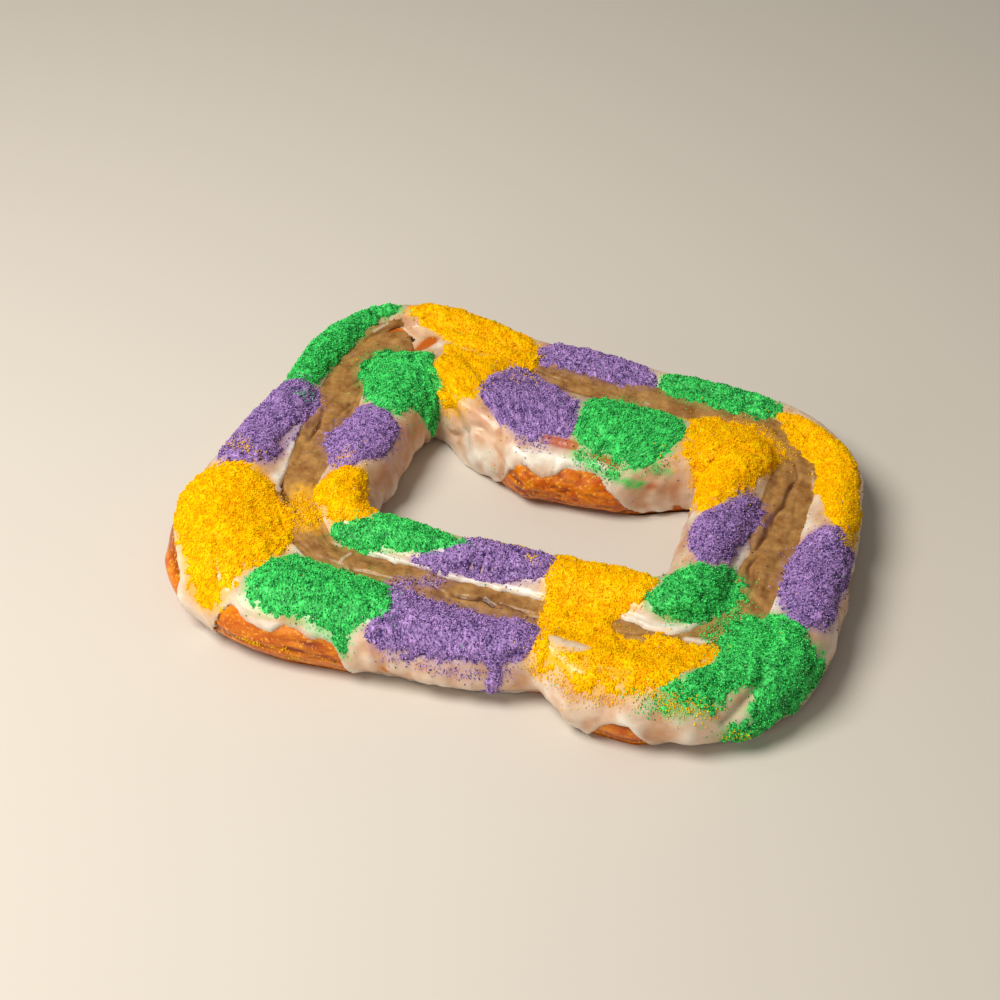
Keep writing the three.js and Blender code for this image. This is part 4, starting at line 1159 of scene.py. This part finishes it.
def strayPlaces(colour, random):
    # loose grains on whatever lies on top, thick beside the mounds and thinner further out
    tries, edge = sugar["strayTries"], sugar["strayEdge"]
    along, across = random.uniform(0, ringLength, tries), random.uniform(-edge, edge, tries)
    far = -readField(colourFields[colour], along, across)
    chance = sugar["strayShare"] * np.exp(-np.maximum(far, 0) / sugar["strayReach"]) * (far > -3)
    kept = random.random(tries) < chance
    along, across = [along[kept]], [across[kept]]
    for mark, line, spread, count in sprinkles:
        if mark == colour:
            s, t = onLine(line, random.uniform(0, len(line) - 1, count))
            along.append(s + random.normal(0, spread / 2, count))
            across.append(t + random.normal(0, spread / 2 / rollStep, count))
    along, across = np.concatenate(along), np.clip(np.concatenate(across), -10, 10)
    points, normals = skin(along, across)
    best, second = np.sort(patchFields, axis=0)[[-1, -2]]
    height = moundHeight(along, across, points, best, second)[0]
    lift = bedLift(along, across, points) + np.maximum(height, 0)
    return (points + normals * lift[:, None]) * mm, normals


def turns(count, random):
    # random rotations, as matrices
    q = random.normal(size=(count, 4))
    w, x, y, z = (q / np.linalg.norm(q, axis=1)[:, None]).T
    return np.stack([
        1 - 2 * (y * y + z * z), 2 * (x * y - z * w), 2 * (x * z + y * w),
        2 * (x * y + z * w), 1 - 2 * (x * x + z * z), 2 * (y * z - x * w),
        2 * (x * z - y * w), 2 * (y * z + x * w), 1 - 2 * (x * x + y * y)], -1).reshape(-1, 3, 3)


def crystalShape():
    # corners and triangles of one grain, an octahedron
    bm = bmesh.new()
    bmesh.ops.create_uvsphere(bm, u_segments=4, v_segments=2, radius=1)
    corners = np.array([vert.co for vert in bm.verts])
    faces = np.array([[vert.index for vert in face.verts] for face in bm.faces])
    bm.free()
    return corners, faces


def grainMesh(name, bodies, faces):
    # one mesh of all the grains, whose corners are given one grain after another
    count, corners = bodies.shape[:2]
    loops = (faces[None] + (np.arange(count) * corners)[:, None, None]).ravel()
    mesh = bpy.data.meshes.new(name)
    mesh.vertices.add(count * corners)
    mesh.vertices.foreach_set("co", bodies.ravel())
    mesh.loops.add(len(loops))
    mesh.loops.foreach_set("vertex_index", loops)
    mesh.polygons.add(len(loops) // 3)
    mesh.polygons.foreach_set("loop_start", np.arange(0, len(loops), 3))
    mesh.update(calc_edges=True)
    mesh.validate()
    return mesh


def buildGrains(colour, material, mounds):
    random = np.random.default_rng(sugarColours[colour]["seed"])
    areas = np.array([sum(face.area for face in mound.data.polygons) for mound in mounds])
    counts = (areas / areas.sum() * sugar["moundGrains"]).astype(int)
    places = [surfaceSamples(mound, count, random) for mound, count in zip(mounds, counts)]
    places.append(strayPlaces(colour, random))
    spots, normals = [np.concatenate(part) for part in zip(*places)]
    count, half = len(spots), sugar["grain"] * mm
    crystal, faces = crystalShape()
    size = half * random.uniform(*sugar["grainSizes"], (count, 1, 1))
    size = size * random.uniform(*sugar["grainStretch"], (count, 1, 3))
    turned = np.einsum("nij,nkj->nki", turns(count, random), crystal[None] * size)
    centres = spots + normals * (half * random.uniform(*sugar["grainRise"], (count, 1)))
    mesh = grainMesh(f"{colour}_grains", turned + centres[:, None, :], faces)
    # partly painted light and shade: glint-bright and gap-dark grains, in lighter and darker clumps
    clumps = fractal(spots / mm, sugar["shadeSize"], 65, 2)
    tint = np.clip(random.normal(*sugar["tint"], count) + sugar["shade"] * clumps, 0, 1)
    mesh.attributes.new("tint", "FLOAT", "POINT").data.foreach_set("value", np.repeat(tint, len(crystal)))
    newPiece(f"{colour}_grains", mesh, material)
    print(colour, "grains", count, "loose", len(places[-1][0]), "triangles", len(mesh.polygons))


def buildSugar():
    for colour in sugarColours:
        material = sugarMaterial(colour)
        mounds = [buildMound(index, material) for index, patch in enumerate(patches) if patch[0] == colour]
        buildGrains(colour, material, mounds)


# ---- stage

studio = {
    "lens": 69.68,
    "sensor": 36,
    "eye": (288.8, -875.8, 897.1),
    "turn": (46.756, -0.407, 19.876),
    "key": {"place": (-640, -560, 1420), "size": 900, "power": 31.0, "colour": (1.0, 0.96, 0.90)},
    "fill": {"place": (-420, -1700, 520), "size": 1000, "power": 7.0, "colour": (1.0, 0.97, 0.93)},
    "sky": {"Color": (*linear(205, 202, 196), 1), "Strength": 0.37},
    "floorHalf": 4000,
    "floor": {"Base Color": (*linear(205, 198, 187), 1), "Roughness": 0.9},
}


def buildFloor():
    bm = bmesh.new()
    bmesh.ops.create_grid(bm, x_segments=1, y_segments=1, size=studio["floorHalf"] * mm)
    mesh = bpy.data.meshes.new("floor")
    bm.to_mesh(mesh)
    bm.free()
    mesh.materials.append(newMaterial("floor_paper", studio["floor"])[0])
    floor = newObject("floor", mesh)


def buildStage():
    scene = bpy.context.scene
    scene.view_settings.view_transform = "Standard"
    lens = bpy.data.cameras.new("camera")
    lens.lens, lens.sensor_width = studio["lens"], studio["sensor"]
    camera = newObject("camera", lens)
    camera.location = [part * mm for part in studio["eye"]]
    camera.rotation_euler = [math.radians(part) for part in studio["turn"]]
    scene.camera = camera
    for name in ("key", "fill"):
        look = studio[name]
        light = bpy.data.lights.new(name, "AREA")
        light.shape, light.size = "DISK", look["size"] * mm
        light.energy, light.color = look["power"], look["colour"]
        lamp = newObject(name, light)
        lamp.location = [part * mm for part in look["place"]]
        aim = -lamp.location.normalized()
        lamp.rotation_euler = aim.to_track_quat("-Z", "Y").to_euler()
    world = bpy.data.worlds.new("studio")
    world.use_nodes = True
    for socket, value in studio["sky"].items():
        world.node_tree.nodes["Background"].inputs[socket].default_value = value
    scene.world = world
    buildFloor()


for part, build in {"stage": buildStage, "dough": buildDough, "icing": buildIcing,
                    "filling": buildFilling, "sugar": buildSugar}.items():
    build()
    print(part, "ready")
